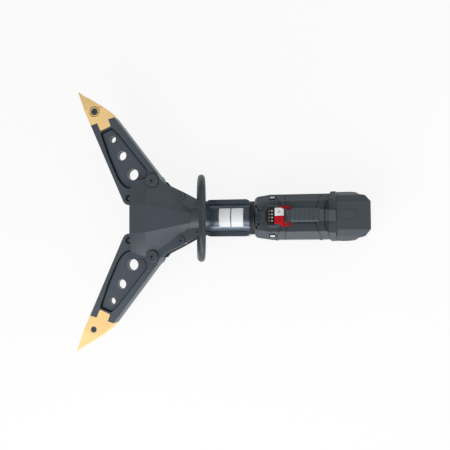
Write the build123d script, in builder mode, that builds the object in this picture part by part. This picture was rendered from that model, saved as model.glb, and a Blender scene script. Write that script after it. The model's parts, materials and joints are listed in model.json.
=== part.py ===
from build123d import *
import math
import os

os.makedirs("parts", exist_ok=True)

# Frame: X runs along the tool, tips towards -X and battery towards +X, Z is up.
# The origin is on the tool's axis, halfway between the open tips and the battery's end.

# Fits
RUN = 0.05  # radial play of a shaft in its hole
SEAT = 0.05  # play of a fixed piece in its seat
GAP = 0.3  # air between pieces that move past each other

# Arms, measured from the pivot with the arm closed: A forwards, B outwards
OPEN_SWING = 66.5  # degrees from closed to fully open
PIVOT_HALF = 115.0  # pivot to the tool's axis
CLOSED_GAP = 0.5  # half the gap between the closed arms
ARM_T = 44.0
WEB_T = 12.0
HUB_R = 24.0
LOBE_R = 21.0
LOBE_INSET = 1.6  # keeps the lobes apart as they pass each other
CRANK_A = -15.0
TANG_A = 241.0  # middle of the shoulder where the tip takes over
SHOULDER_SLANT = 4.7  # the shoulder is this much further forward at the inner edge
TANG_T = 20.0
OUTER_B = -35.0  # outer edge at the shoulder
TIP_A = 367.5
TIP_NOSE_T = 11.0
TIP_PIN_A = 280.0
TIP_PIN_B = -86.0
TIP_PIN_R = 9.5
TIP_RING_R = 16.5
TIP_RING_H = 1.2
TIP_TAB = (282.0, -61.0)  # end of the turn tab
POCKET_RIM = 12.5
POCKET_CORNER = 7.0
GROOVE_W = 2.6  # groove between the rim and the raised panel
PANEL_T = 26.0  # arm's thickness at the raised panel
PANEL_EDGE = 1.6
EDGE = 1.2  # chamfer of the outer edges
HOLES = [(49.5, -53.5, 17.8), (118.5, -62.5, 14.8), (178.2, -69.0, 10.8)]
TOOTH_PITCH = 6.5
TOOTH_DEPTH = 2.2

# Pivots and links
PIVOT_R = 13.0
BUSH_WALL = 3.5
BOLT_HEAD_R = 19.0
BOLT_HEAD_H = 9.0
LINK_L = 75.0
LINK_T = 16.0
LINK_PIN_R = 11.0
LINK_PIN_BORE_R = 6.0
LINK_EYE_R = 16.0
CROSS_PIN_R = 6.5
CROSS_EYE_R = 13.5
CROSS_HALF = 33.0  # crosshead pin to the tool's axis
CROSS_PLATE_T = 12.0
ROD_R = 18.0
PISTON_R = 32.0
PISTON_L = 22.0

# Cover plates, X from the pivot line
COVER_T = 12.0
COVER_CLEAR = 0.5
COVER_FRONT = -71.0
COVER_REAR = 147.5
HOOD_RISE = 22.5
HOOD_WALL = 7.0
MID_BOLT = (89.5, 66.8)
REAR_SCREW = (136.6, 42.0)
SPACER_R = 10.0
MID_BOLT_R = 5.0
MID_HEAD_R = 11.5
SMALL_SCREW_R = 3.0
SMALL_HEAD_R = 5.3

# Cylinder block
BLOCK_R = 45.0
BLOCK_FRONT = 128.0
BLOCK_STEP = 175.0
BLOCK_REAR = 297.0
RAIL_HALF = 55.0
RAIL_T = 44.0
FLANGE_HALF = 51.0
NOSE_R = 39.0
LOCK_RING_L = 7.0

# Carrying ring
RING_AT = 143.5
RING_LEAN = 14.0
RING_W = 262.0
RING_H = 238.0
RING_TUBE_R = 10.5
RING_CORNER = 84.0
LUG_T = 10.0
LUG_H = 30.0

# Rear unit
NECK_R = 50.0
NOSE_START = 312.0
BODY_START = 357.0
COLLAR_START = 516.0
COLLAR_SWEEP = 18.0
BATTERY_START = 547.0
REAR_END = 643.5
BODY_HALF = 66.0
BODY_TOP = 50.0
BODY_BOTTOM = -82.0
WALL = 3.5
GRIP_HALF = 18.5
GRIP_TOP = 115.0
GRIP_BOTTOM = 86.0
BATTERY_HALF = 71.0
BATTERY_TOP = 62.0
BATTERY_BOTTOM = -92.0
BATTERY_BLOCK_HALF = 40.0
HEAD_TOP = 86.0  # control head on top of the rear unit
HEAD_HALF = 28.5
HEAD_FOOT = 35.0
HEAD_ROOT = 30.0
HEAD_WAIST = [(378.0, 28.5), (391.0, 25.2), (404.0, 22.0), (417.5, 15.5)]
HEAD_WALL_IN = 415.0  # rear end of the room inside the head
PANEL_FRONT = 348.5
PANEL_REAR = 375.5
BUTTON_REAR = 402.5
BUTTON_HALF = 23.3
NECK_IN = 420.0  # where the head has narrowed to the handle
GRIP_REAR = 508.0
FINGER_FRONT = 424.0
FINGER_LOW = 52.0
LEVER_Z = 62.0  # axis of the control lever
WING_FRONT = 391.0
WING_REAR = 420.0
SHAFT_R = 4.0
HUB_START = 393.0
HUB_END = 412.0
HUB_LEVER_R = 10.0
NOSE_WALL = 12.0
MOTOR_Z = -16.0
MOTOR_R = 40.0
PUMP_R = 38.0
PUMP_L = 48.0
MOTOR_L = 106.0
CELL_R = 10.35
CELL_PITCH = 21.0
CELL_COLUMNS = 5
CELL_ROWS = 3
CELL_Z = -30.0
CONTACT_Z = 15.0
CONTACT_PITCH = 16.0
CELL_L = 66.0
PLUG_INSET = 12.0  # wall of the rear collar round the battery's front plug
PLUG_L = 14.0
SIDE_RAIL_H = 22.0
LATCH_AT = 571.0
LATCH_L = 24.0
LATCH_H = 16.0
LATCH_T = 7.0
LATCH_ROOM = 14.0
LAMP_L = 14.0
LAMP_W = 9.0
LAMP_T = 4.0
SEAM_W = 0.9
SEAM_DEPTH = 0.9
BODY_SEAMS = [
    ((374.0, 64.0), (390.0, 34.0)),
    ((400.5, 64.0), (407.0, 34.0)),
    ((506.0, 64.0), (488.5, 18.5)),
]
SHELL_SCREWS = [(371, -50), (503, -50), (371, 4), (503, 4)]
SHELL_SCREW_R = 2.0

# Derived places
INNER_B = -(PIVOT_HALF - CLOSED_GAP)
CRANK_B = INNER_B + LOBE_R + LOBE_INSET
swing = math.radians(OPEN_SWING)
TIP_REACH = TIP_A * math.cos(swing) - INNER_B * math.sin(swing)
PIVOT_X = (TIP_REACH - REAR_END) / 2
COVER_IN = ARM_T / 2 + COVER_CLEAR
COVER_OUT = COVER_IN + COVER_T


def at(station):
    """X of a station measured from the pivot line."""
    return PIVOT_X + station


def arm_plane(side, z=0.0):
    """Plane with X along the open arm's inner edge and Y outwards, Z pointing down on the +Y arm."""
    direction = (-math.cos(swing), side * math.sin(swing), 0)
    return Plane(origin=(PIVOT_X, side * PIVOT_HALF, -side * z), x_dir=direction, z_dir=(0, 0, -side))


def arm_point(side, a, b, turn=0.0):
    """Place of an arm point after closing by turn radians, in the tool's frame."""
    angle = swing - turn
    x = PIVOT_X - a * math.cos(angle) + b * math.sin(angle)
    y = PIVOT_HALF + a * math.sin(angle) + b * math.cos(angle)
    return x, side * y


def link_state(turn):
    """Crosshead pin X and link angle for an arm closed by turn radians."""
    crank_x, crank_y = arm_point(1, CRANK_A, CRANK_B, turn)
    angle = math.asin((crank_y - CROSS_HALF) / LINK_L)
    return crank_x + LINK_L * math.cos(angle), angle


# Link travel: the crosshead and the links turn at a constant rate between their two true ends,
# so the link's cross pin drifts a little in between, and the crosshead's slots leave room for it.
CROSS_X, LINK_OPEN = link_state(0.0)
CROSS_CLOSED_X, LINK_CLOSED = link_state(swing)
STROKE = CROSS_CLOSED_X - CROSS_X
drift_x = [0.0]
drift_y = [0.0]
for step in range(41):
    share = step / 40
    crank_x, crank_y = arm_point(1, CRANK_A, CRANK_B, swing * share)
    angle = LINK_OPEN + (LINK_CLOSED - LINK_OPEN) * share
    drift_x.append(crank_x + LINK_L * math.cos(angle) - CROSS_X - STROKE * share)
    drift_y.append(crank_y - LINK_L * math.sin(angle) - CROSS_HALF)
SLOT_X = (min(drift_x) - CROSS_PIN_R - GAP, max(drift_x) + CROSS_PIN_R + GAP)
SLOT_Y = (CROSS_HALF + min(drift_y) - CROSS_PIN_R - GAP, CROSS_HALF + max(drift_y) + CROSS_PIN_R + GAP)
CROSS_OUT = ARM_T / 2 - 1.0
CROSS_IN = CROSS_OUT - CROSS_PLATE_T
CROSS_WIDE = SLOT_Y[1] + 7.0
CROSS_FRONT = SLOT_X[0] - 6.0
CROSS_WEB = CROSS_EYE_R + 2.5
CROSS_BACK = CROSS_WEB + 17.0
PUMP_START = NOSE_START + NOSE_WALL + SEAT
PUMP_END = PUMP_START + PUMP_L
MOTOR_START = PUMP_END + SEAT
MOTOR_END = MOTOR_START + MOTOR_L
CYL_BORE_START = at(BLOCK_FRONT + 33.0)
CYL_BORE_END = at(BLOCK_REAR - 11.0)


def save(piece, label):
    """Labels a finished piece and writes its file."""
    piece.part.label = label
    export_step(piece.part, f"parts/{label}.step")


# Arms
def beyond_shoulder():
    """Everything in front of the slanting line where the tip's shoulder meets the arm."""
    per_b = 2 * SHOULDER_SLANT / (OUTER_B - INNER_B)
    middle_b = (OUTER_B + INNER_B) / 2
    outside, inside = OUTER_B + 60, INNER_B - 30
    edge = [(TANG_A + per_b * (middle_b - b), b) for b in (outside, inside)]
    return edge + [(TANG_A + 60, inside), (TANG_A + 60, outside)]


def pocket_outline():
    """Corners of the recess in each face of the arm, between its rims."""
    rim = INNER_B + POCKET_RIM
    return [
        (TANG_A - 29, rim + 6),
        (TANG_A - 30, -55.5),
        (TANG_A - 61, -42.5),
        (38, -3.5),
        (25, -13),
        (12, -42),
        (8, -72),
        (18, -89),
        (38, rim - 0.5 + 4),
        (60, rim),
        (134, rim),
    ]


def make_arm(side):
    face = arm_plane(side)
    with BuildPart() as arm:
        with BuildSketch(face):
            Circle(HUB_R)
            with Locations((CRANK_A, CRANK_B)):
                Circle(LOBE_R)
            with Locations((TANG_A + 10, OUTER_B - 5.4), (TANG_A + 10, INNER_B + 2)):
                Circle(2)
            make_hull()
            with BuildLine():
                Polyline(*beyond_shoulder(), close=True)
            make_face(mode=Mode.SUBTRACT)
        extrude(amount=ARM_T / 2, both=True)
        chamfer(arm.faces().filter_by(Axis.Z).edges(), EDGE)
        for level in (-1, 1):
            with BuildSketch(arm_plane(side, level * WEB_T / 2)):
                with BuildLine():
                    Polyline(*pocket_outline(), close=True)
                make_face()
                fillet(vertices(), POCKET_CORNER)
            extrude(amount=level * ARM_T, mode=Mode.SUBTRACT)
            # raised panel inside the groove
            with BuildSketch(arm_plane(side, level * (WEB_T / 2 - 1))):
                with BuildLine():
                    Polyline(*pocket_outline(), close=True)
                make_face()
                fillet(vertices(), POCKET_CORNER)
                offset(amount=-GROOVE_W)
            extrude(amount=level * ((PANEL_T - WEB_T) / 2 + 1))
            panel_z = -side * level * PANEL_T / 2
            top = arm.faces().filter_by(Axis.Z).sort_by(lambda face: abs(face.center().Z - panel_z))[0]
            chamfer(top.outer_wire().edges(), PANEL_EDGE)
            # seat for the tongue of the tip
            with BuildSketch(arm_plane(side, level * TANG_T / 2)):
                with Locations((TANG_A, (-55.0 - 92.5) / 2)):
                    Rectangle(2 * 26, 38)
            extrude(amount=level * ARM_T, mode=Mode.SUBTRACT)
        with BuildSketch(face):
            with Locations((TANG_A - 6, -70), (TANG_A - 6, -98)):
                Circle(7)
            with Locations((TIP_PIN_A, TIP_PIN_B)):
                Circle(21)
            make_hull()
        extrude(amount=TANG_T / 2, both=True)
        with BuildSketch(face):
            for a, b, radius in HOLES:
                with Locations((a, b)):
                    Circle(radius)
            with Locations((TIP_PIN_A, TIP_PIN_B)):
                Circle(TIP_PIN_R + SEAT)
            with Locations((CRANK_A, CRANK_B)):
                Circle(LINK_PIN_R + SEAT)
            Circle(PIVOT_R + BUSH_WALL + SEAT)
        extrude(amount=ARM_T, both=True, mode=Mode.SUBTRACT)
        # slot in the lobe for the link over its whole swing
        with BuildSketch(face):
            with Locations((CRANK_A, CRANK_B)):
                Circle(LINK_EYE_R + 1.5)
        extrude(amount=LINK_T / 2 + GAP, both=True, mode=Mode.SUBTRACT)
        with BuildSketch(face):
            for turn, angle in ((0.0, LINK_OPEN), (swing, LINK_CLOSED)):
                heading = 180 + math.degrees(angle) - math.degrees(swing - turn)
                with Locations(Location((CRANK_A, CRANK_B), heading)):
                    with Locations((LINK_L / 2, 0)):
                        Rectangle(LINK_L, 2 * (LINK_EYE_R + 1.5))
        extrude(amount=LINK_T / 2 + GAP, both=True, mode=Mode.SUBTRACT)
    return arm


def tip_slope():
    """Outer edge of the tip from the shoulder to the apex."""
    return [
        (TANG_A - SHOULDER_SLANT + SEAT, OUTER_B),
        (TANG_A + 17, OUTER_B - 7.2),
        (TANG_A + 33, OUTER_B - 15.6),
        (TANG_A + 51, OUTER_B - 26),
        (TANG_A + 70, OUTER_B - 40),
        (TANG_A + 88, OUTER_B - 51.5),
        (TANG_A + 101, OUTER_B - 63.5),
        (TIP_A - 8, INNER_B + 5.5),
        (TIP_A, INNER_B + 1.2),
    ]


def make_tip(side):
    face = arm_plane(side)
    slope = tip_slope()
    with BuildPart() as tip:
        with BuildSketch(face):
            with BuildLine():
                Polyline(*slope, (TIP_A - 3, INNER_B), (TANG_A + SHOULDER_SLANT + SEAT, INNER_B), close=True)
            make_face()
        extrude(amount=ARM_T / 2, both=True)
        # tongues that lap over the end of the arm
        for level in (-1, 1):
            with BuildSketch(arm_plane(side, level * (TANG_T / 2 + SEAT))):
                with Locations((TANG_A - 6, (-55.5 - 92.5) / 2)):
                    RectangleRounded(38, 37, 4)
            extrude(amount=level * (ARM_T / 2 - TANG_T / 2 - SEAT))
        # slot for the arm's tang
        with BuildSketch(face):
            with Locations((TANG_A - 30, -70), (TANG_A - 30, -98)):
                Circle(9)
            with Locations((TIP_PIN_A, TIP_PIN_B)):
                Circle(22)
            make_hull()
        extrude(amount=TANG_T / 2 + SEAT, both=True, mode=Mode.SUBTRACT)
        with BuildSketch(face):
            with Locations((TANG_A - 30, -75)):
                Rectangle(70, 40)
        extrude(amount=TANG_T / 2 + SEAT, both=True, mode=Mode.SUBTRACT)
        # both faces fall towards the nose
        rim = arm_plane(side).origin
        across = Plane(origin=(rim.X, rim.Y, 0), x_dir=face.x_dir, z_dir=face.y_dir)
        with BuildSketch(across):
            for level in (-1, 1):
                with BuildLine():
                    Polyline((TIP_PIN_A + 16, level * ARM_T / 2), (TIP_A + 5, level * TIP_NOSE_T / 2),
                             (TIP_A + 5, level * ARM_T), (TIP_PIN_A + 16, level * ARM_T), close=True)
                make_face()
        extrude(amount=2 * PIVOT_HALF, both=True, mode=Mode.SUBTRACT)
        with BuildSketch(face):
            with Locations((TIP_PIN_A, TIP_PIN_B)):
                Circle(TIP_PIN_R + RUN)
        extrude(amount=ARM_T, both=True, mode=Mode.SUBTRACT)
        # teeth along the outer edge
        with BuildSketch(face):
            for start, end in zip(slope[2:-2], slope[3:-1]):
                length = math.dist(start, end)
                heading = math.degrees(math.atan2(end[1] - start[1], end[0] - start[0]))
                count = int(length / TOOTH_PITCH)
                for index in range(count):
                    share = (index + 0.5) / count
                    middle = (start[0] + (end[0] - start[0]) * share, start[1] + (end[1] - start[1]) * share)
                    with Locations(Location(middle, heading)):
                        with BuildLine():
                            Polyline((-TOOTH_DEPTH, 0.5), (0, -TOOTH_DEPTH), (TOOTH_DEPTH, 0.5), close=True)
                        make_face()
        extrude(amount=ARM_T, both=True, mode=Mode.SUBTRACT)
    return tip


def make_tip_pin(side):
    """Lock pin through both cheeks and the tang, with its flat turn tab on the marked face."""
    top = ARM_T / 2
    with BuildPart() as pin:
        with BuildSketch(arm_plane(side, top)):
            with Locations((TIP_PIN_A, TIP_PIN_B)):
                Circle(TIP_PIN_R)
        extrude(amount=-ARM_T)
        # ring with the turn tab round the pin's end
        with BuildSketch(arm_plane(side, -top)):
            with Locations((TIP_PIN_A, TIP_PIN_B)):
                Circle(TIP_RING_R)
        extrude(amount=-TIP_RING_H)
        with BuildSketch(arm_plane(side, -top)):
            with Locations((TIP_PIN_A, TIP_PIN_B)):
                Circle(7)
            with Locations(TIP_TAB):
                Circle(3.5)
            make_hull()
        extrude(amount=-TIP_RING_H - 1)
        with BuildSketch(arm_plane(side, -top)):
            with Locations((TIP_PIN_A, TIP_PIN_B)):
                Circle(TIP_PIN_R)
        extrude(amount=-TIP_RING_H - 1.6)
        with BuildSketch(arm_plane(side, -top - TIP_RING_H - 1.6)):
            with Locations((TIP_PIN_A, TIP_PIN_B)):
                RegularPolygon(3.4, 6)
        extrude(amount=1.4, mode=Mode.SUBTRACT)
        with BuildSketch(arm_plane(side, top)):
            with Locations((TIP_PIN_A, TIP_PIN_B)):
                RegularPolygon(3.4, 6)
        extrude(amount=-2, mode=Mode.SUBTRACT)
    return pin


def make_bush(side):
    """Pivot bush pressed into the arm's hub."""
    with BuildPart() as bush:
        with BuildSketch(arm_plane(side)):
            Circle(PIVOT_R + BUSH_WALL)
            Circle(PIVOT_R + RUN, mode=Mode.SUBTRACT)
        extrude(amount=ARM_T / 2 + COVER_CLEAR - GAP, both=True)
    return bush


def make_link_pin(side):
    """Hollow pin through the lobe, open from top to bottom."""
    with BuildPart() as pin:
        with BuildSketch(arm_plane(side)):
            with Locations((CRANK_A, CRANK_B)):
                Circle(LINK_PIN_R)
                Circle(LINK_PIN_BORE_R, mode=Mode.SUBTRACT)
        extrude(amount=ARM_T / 2, both=True)
        chamfer(pin.edges().filter_by(GeomType.CIRCLE).group_by(SortBy.RADIUS)[0], 1)
    return pin


def link_plane(side, z=0.0):
    crank_x, crank_y = arm_point(side, CRANK_A, CRANK_B)
    direction = (math.cos(LINK_OPEN), -side * math.sin(LINK_OPEN), 0)
    return Plane(origin=(crank_x, crank_y, z), x_dir=direction, z_dir=(0, 0, 1))


def make_link(side):
    with BuildPart() as link:
        with BuildSketch(link_plane(side)):
            Circle(LINK_EYE_R)
            with Locations((LINK_L, 0)):
                Circle(CROSS_EYE_R)
            make_hull()
            Circle(LINK_PIN_R + RUN, mode=Mode.SUBTRACT)
            with Locations((LINK_L, 0)):
                Circle(CROSS_PIN_R + SEAT, mode=Mode.SUBTRACT)
        extrude(amount=LINK_T / 2, both=True)
        for level in (-1, 1):
            with BuildSketch(link_plane(side, level * (LINK_T / 2 - 2.5))):
                with Locations((LINK_L * 0.52, 0)):
                    SlotOverall(32, 14)
            extrude(amount=level * 5, mode=Mode.SUBTRACT)
    return link


def make_cross_pin(side):
    with BuildPart() as pin:
        with BuildSketch(link_plane(side)):
            with Locations((LINK_L, 0)):
                Circle(CROSS_PIN_R)
        extrude(amount=CROSS_OUT, both=True)
    return pin


# Ram
def make_crosshead():
    middle = (SLOT_Y[0] + SLOT_Y[1]) / 2
    with BuildPart() as crosshead:
        with BuildSketch(Plane.XY):
            with Locations((CROSS_X + (CROSS_FRONT + CROSS_BACK) / 2, 0)):
                Rectangle(CROSS_BACK - CROSS_FRONT, 2 * CROSS_WIDE)
            chamfer(vertices(), 7)
        extrude(amount=CROSS_OUT, both=True)
        with BuildSketch(Plane.XY):
            with Locations((CROSS_X + CROSS_WEB - 60, 0)):
                Rectangle(120, 3 * CROSS_WIDE)
        extrude(amount=CROSS_IN, both=True, mode=Mode.SUBTRACT)
        with BuildSketch(Plane.XY):
            with Locations((CROSS_X + sum(SLOT_X) / 2, middle), (CROSS_X + sum(SLOT_X) / 2, -middle)):
                RectangleRounded(SLOT_X[1] - SLOT_X[0], SLOT_Y[1] - SLOT_Y[0], CROSS_PIN_R)
        extrude(amount=ARM_T, both=True, mode=Mode.SUBTRACT)
        with BuildSketch(Plane.YZ.offset(CROSS_X + CROSS_WEB)):
            Circle(ROD_R - 5 + SEAT)
        extrude(amount=40, mode=Mode.SUBTRACT)
    return crosshead


def make_piston_rod():
    start = CROSS_X + CROSS_WEB + 0.5
    shoulder = CROSS_X + CROSS_BACK
    end = CYL_BORE_START + 1.5 + PISTON_L
    with BuildPart() as rod:
        with BuildSketch(Plane.YZ.offset(start)):
            Circle(ROD_R - 5)
        extrude(amount=shoulder - start)
        with BuildSketch(Plane.YZ.offset(shoulder)):
            Circle(ROD_R)
        extrude(amount=end - PISTON_L - shoulder)
        with BuildSketch(Plane.YZ.offset(end - PISTON_L)):
            Circle(ROD_R - 6)
        extrude(amount=PISTON_L)
    return rod


def make_piston():
    with BuildPart() as piston:
        with BuildSketch(Plane.YZ.offset(CYL_BORE_START + 1.5)):
            Circle(PISTON_R - RUN)
            Circle(ROD_R - 6 + SEAT, mode=Mode.SUBTRACT)
        extrude(amount=PISTON_L)
        with BuildSketch(Plane.YZ.offset(CYL_BORE_START + 1.5 + PISTON_L / 2 - 3)):
            Circle(PISTON_R + 1)
            Circle(PISTON_R - 4, mode=Mode.SUBTRACT)
        extrude(amount=6, mode=Mode.SUBTRACT)
    return piston


def make_piston_seal():
    with BuildPart() as seal:
        with BuildSketch(Plane.YZ.offset(CYL_BORE_START + 1.5 + PISTON_L / 2 - 2.8)):
            Circle(PISTON_R - RUN)
            Circle(PISTON_R - 4 + SEAT, mode=Mode.SUBTRACT)
        extrude(amount=5.6)
    return seal


def make_gland():
    with BuildPart() as gland:
        with BuildSketch(Plane.YZ.offset(at(BLOCK_FRONT))):
            Circle(PISTON_R - 4)
            Circle(ROD_R + RUN, mode=Mode.SUBTRACT)
        extrude(amount=CYL_BORE_START - at(BLOCK_FRONT) - SEAT)
        with BuildSketch(Plane.YZ.offset(at(BLOCK_FRONT) + 12)):
            Circle(ROD_R + 4)
            Circle(ROD_R, mode=Mode.SUBTRACT)
        extrude(amount=8, mode=Mode.SUBTRACT)
    return gland


def make_rod_seal():
    with BuildPart() as seal:
        with BuildSketch(Plane.YZ.offset(at(BLOCK_FRONT) + 12.2)):
            Circle(ROD_R + 4 - SEAT)
            Circle(ROD_R + RUN, mode=Mode.SUBTRACT)
        extrude(amount=7.6)
    return seal


# Covers
def cover_outline():
    """Corners of one half of the cover plate, from the front edge to the rear."""
    return [
        (COVER_FRONT, 40),
        (COVER_FRONT + 2.5, PIVOT_HALF - 17),
        (COVER_FRONT + 8, PIVOT_HALF - 6),
        (COVER_FRONT + 21, PIVOT_HALF + 2.5),
        (COVER_FRONT + 46, PIVOT_HALF + 5),
        (31, PIVOT_HALF + 2),
        (41, PIVOT_HALF - 10),
        (82, PIVOT_HALF - 30),
        (132, 58),
        (COVER_REAR, 50),
    ]


def mirrored_outline(half_widths):
    """Closed outline from the corners of its +Y half."""
    right = [(at(x), y) for x, y in half_widths]
    left = [(at(x), -y) for x, y in reversed(half_widths)]
    return right + left


def make_cover(up):
    """Cover plate with its raised hood; up is 1 for the upper cover and -1 for the lower one."""
    inner = up * COVER_IN
    outer = up * COVER_OUT
    top = up * (COVER_OUT + HOOD_RISE)
    # hood sections: station, half width and height of its flat top, half width where it meets the plate
    front = (COVER_FRONT, 42, COVER_OUT + 5, 99)
    crease = (-15, 42, COVER_OUT + HOOD_RISE, 117)
    rear = (119, 15, NOSE_R + 7, 25)
    hollow = [(COVER_FRONT + 10, 36, COVER_OUT - 3, 62), (-13, 37, COVER_OUT + HOOD_RISE - HOOD_WALL, 78),
              (100, 10, NOSE_R + 1, 20)]
    saddle = NOSE_R + 6.5
    with BuildPart() as cover:
        with BuildSketch(Plane.XY.offset(inner)):
            with BuildLine():
                Polyline(*mirrored_outline(cover_outline()), close=True)
            make_face()
            with Locations((PIVOT_X, PIVOT_HALF), (PIVOT_X, -PIVOT_HALF)):
                Circle(HUB_R)
        extrude(amount=up * COVER_T)
        for first, second in ((front, crease), (crease, rear)):
            for station, flat, height, foot in (first, second):
                with BuildSketch(Plane.YZ.offset(at(station))):
                    with BuildLine():
                        Polyline((foot, inner), (foot, outer), (flat, up * height), (-flat, up * height),
                                 (-foot, outer), (-foot, inner), close=True)
                    make_face()
            loft(ruled=True)
        with BuildSketch(Plane.YZ.offset(at(92))):
            Circle(saddle)
        extrude(amount=at(COVER_REAR) - at(92))
        with BuildSketch(Plane.XY.offset(inner)):
            Rectangle(3000, 3000)
        extrude(amount=-up * 200, mode=Mode.SUBTRACT)
        # the hood ends at the plate's outline
        with BuildSketch(Plane.XY.offset(inner)):
            with BuildLine():
                Polyline(*mirrored_outline(cover_outline()), close=True)
            make_face()
            with Locations((PIVOT_X, PIVOT_HALF), (PIVOT_X, -PIVOT_HALF)):
                Circle(HUB_R)
        extrude(amount=up * 100, mode=Mode.INTERSECT)
        # hollow of the hood, open towards the arms
        for first, second in zip(hollow[:-1], hollow[1:]):
            for station, flat, height, foot in (first, second):
                with BuildSketch(Plane.YZ.offset(at(station))):
                    with BuildLine():
                        Polyline((foot, inner - up), (foot, inner), (flat, up * height), (-flat, up * height),
                                 (-foot, inner), (-foot, inner - up), close=True)
                    make_face()
            loft(ruled=True, mode=Mode.SUBTRACT)
        with BuildSketch(Plane.YZ.offset(at(100))):
            Circle(NOSE_R + SEAT)
        extrude(amount=100, mode=Mode.SUBTRACT)
        # flat seats round the pivot bolts and the middle bolts
        with BuildSketch(Plane.XY.offset(outer)):
            with Locations((PIVOT_X, PIVOT_HALF), (PIVOT_X, -PIVOT_HALF)):
                Circle(BOLT_HEAD_R + 1)
            with Locations(*[(at(MID_BOLT[0]), s * MID_BOLT[1]) for s in (-1, 1)]):
                Circle(MID_HEAD_R + 1)
        extrude(amount=up * 60, mode=Mode.SUBTRACT)
        with BuildSketch(Plane.XY.offset(inner - up)):
            with Locations((PIVOT_X, PIVOT_HALF), (PIVOT_X, -PIVOT_HALF)):
                Circle(PIVOT_R + SEAT)
            with Locations(*[(at(MID_BOLT[0]), s * MID_BOLT[1]) for s in (-1, 1)]):
                Circle(MID_BOLT_R + SEAT)
            with Locations(*[(at(REAR_SCREW[0]), s * REAR_SCREW[1]) for s in (-1, 1)]):
                Circle(SMALL_SCREW_R + SEAT)
        extrude(amount=up * (COVER_T + 2), mode=Mode.SUBTRACT)
    return cover


def make_pivot_bolts():
    """Two pivot bolts with round heads that carry a ring groove and a small hexagon socket."""
    with BuildPart() as bolts:
        with BuildSketch(Plane.XY.offset(-COVER_OUT - BOLT_HEAD_H + 4)):
            with Locations((PIVOT_X, PIVOT_HALF), (PIVOT_X, -PIVOT_HALF)):
                Circle(PIVOT_R)
        extrude(amount=2 * COVER_OUT + BOLT_HEAD_H - 4)
        with BuildSketch(Plane.XY.offset(COVER_OUT)):
            with Locations((PIVOT_X, PIVOT_HALF), (PIVOT_X, -PIVOT_HALF)):
                Circle(BOLT_HEAD_R)
        extrude(amount=BOLT_HEAD_H)
        chamfer(bolts.faces().sort_by(Axis.Z)[-2:].edges(), 1.6)
        with BuildSketch(Plane.XY.offset(COVER_OUT + BOLT_HEAD_H)):
            with Locations((PIVOT_X, PIVOT_HALF), (PIVOT_X, -PIVOT_HALF)):
                Circle(9)
                Circle(7.6, mode=Mode.SUBTRACT)
                RegularPolygon(4, 6)
        extrude(amount=-1.2, mode=Mode.SUBTRACT)
        with BuildSketch(Plane.XY.offset(COVER_OUT + BOLT_HEAD_H)):
            with Locations((PIVOT_X, PIVOT_HALF), (PIVOT_X, -PIVOT_HALF)):
                RegularPolygon(4, 6)
        extrude(amount=-6, mode=Mode.SUBTRACT)
    return bolts


def make_pivot_nuts():
    with BuildPart() as nuts:
        with BuildSketch(Plane.XY.offset(-COVER_OUT)):
            with Locations((PIVOT_X, PIVOT_HALF), (PIVOT_X, -PIVOT_HALF)):
                Circle(BOLT_HEAD_R)
                Circle(PIVOT_R + SEAT, mode=Mode.SUBTRACT)
        extrude(amount=-BOLT_HEAD_H)
        chamfer(nuts.faces().sort_by(Axis.Z)[:2].edges().group_by(SortBy.LENGTH)[-1], 1.6)
    return nuts


def make_spacers():
    with BuildPart() as spacers:
        with BuildSketch(Plane.XY.offset(-COVER_IN)):
            with Locations(*[(at(MID_BOLT[0]), s * MID_BOLT[1]) for s in (-1, 1)]):
                Circle(SPACER_R)
                Circle(MID_BOLT_R + SEAT, mode=Mode.SUBTRACT)
        extrude(amount=2 * COVER_IN)
    return spacers


def make_mid_bolts():
    """Middle cover bolts with a round head at the top and a round nut below."""
    places = [(at(MID_BOLT[0]), s * MID_BOLT[1]) for s in (-1, 1)]
    with BuildPart() as bolts:
        with BuildSketch(Plane.XY.offset(-COVER_OUT)):
            with Locations(*places):
                Circle(MID_BOLT_R)
        extrude(amount=2 * COVER_OUT)
        for level in (-1, 1):
            with BuildSketch(Plane.XY.offset(level * COVER_OUT)):
                with Locations(*places):
                    Circle(MID_HEAD_R)
            extrude(amount=level * 5)
        with BuildSketch(Plane.XY.offset(COVER_OUT + 5)):
            with Locations(*places):
                Circle(6.4)
                Circle(5.4, mode=Mode.SUBTRACT)
                RegularPolygon(3, 6)
        extrude(amount=-1, mode=Mode.SUBTRACT)
        with BuildSketch(Plane.XY.offset(COVER_OUT + 5)):
            with Locations(*places):
                RegularPolygon(3, 6)
        extrude(amount=-4, mode=Mode.SUBTRACT)
    return bolts


def make_cover_screws():
    """Small screws that hold both covers on the cylinder block."""
    places = [(at(REAR_SCREW[0]), s * REAR_SCREW[1]) for s in (-1, 1)]
    with BuildPart() as screws:
        for level in (-1, 1):
            with BuildSketch(Plane.XY.offset(level * (COVER_IN - 14))):
                with Locations(*places):
                    Circle(SMALL_SCREW_R)
            extrude(amount=level * (COVER_T + 14))
            with BuildSketch(Plane.XY.offset(level * COVER_OUT)):
                with Locations(*places):
                    Circle(SMALL_HEAD_R)
            extrude(amount=level * 3)
            with BuildSketch(Plane.XY.offset(level * (COVER_OUT + 3))):
                with Locations(*places):
                    RegularPolygon(2.2, 6)
            extrude(amount=-level * 2, mode=Mode.SUBTRACT)
    return screws


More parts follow.
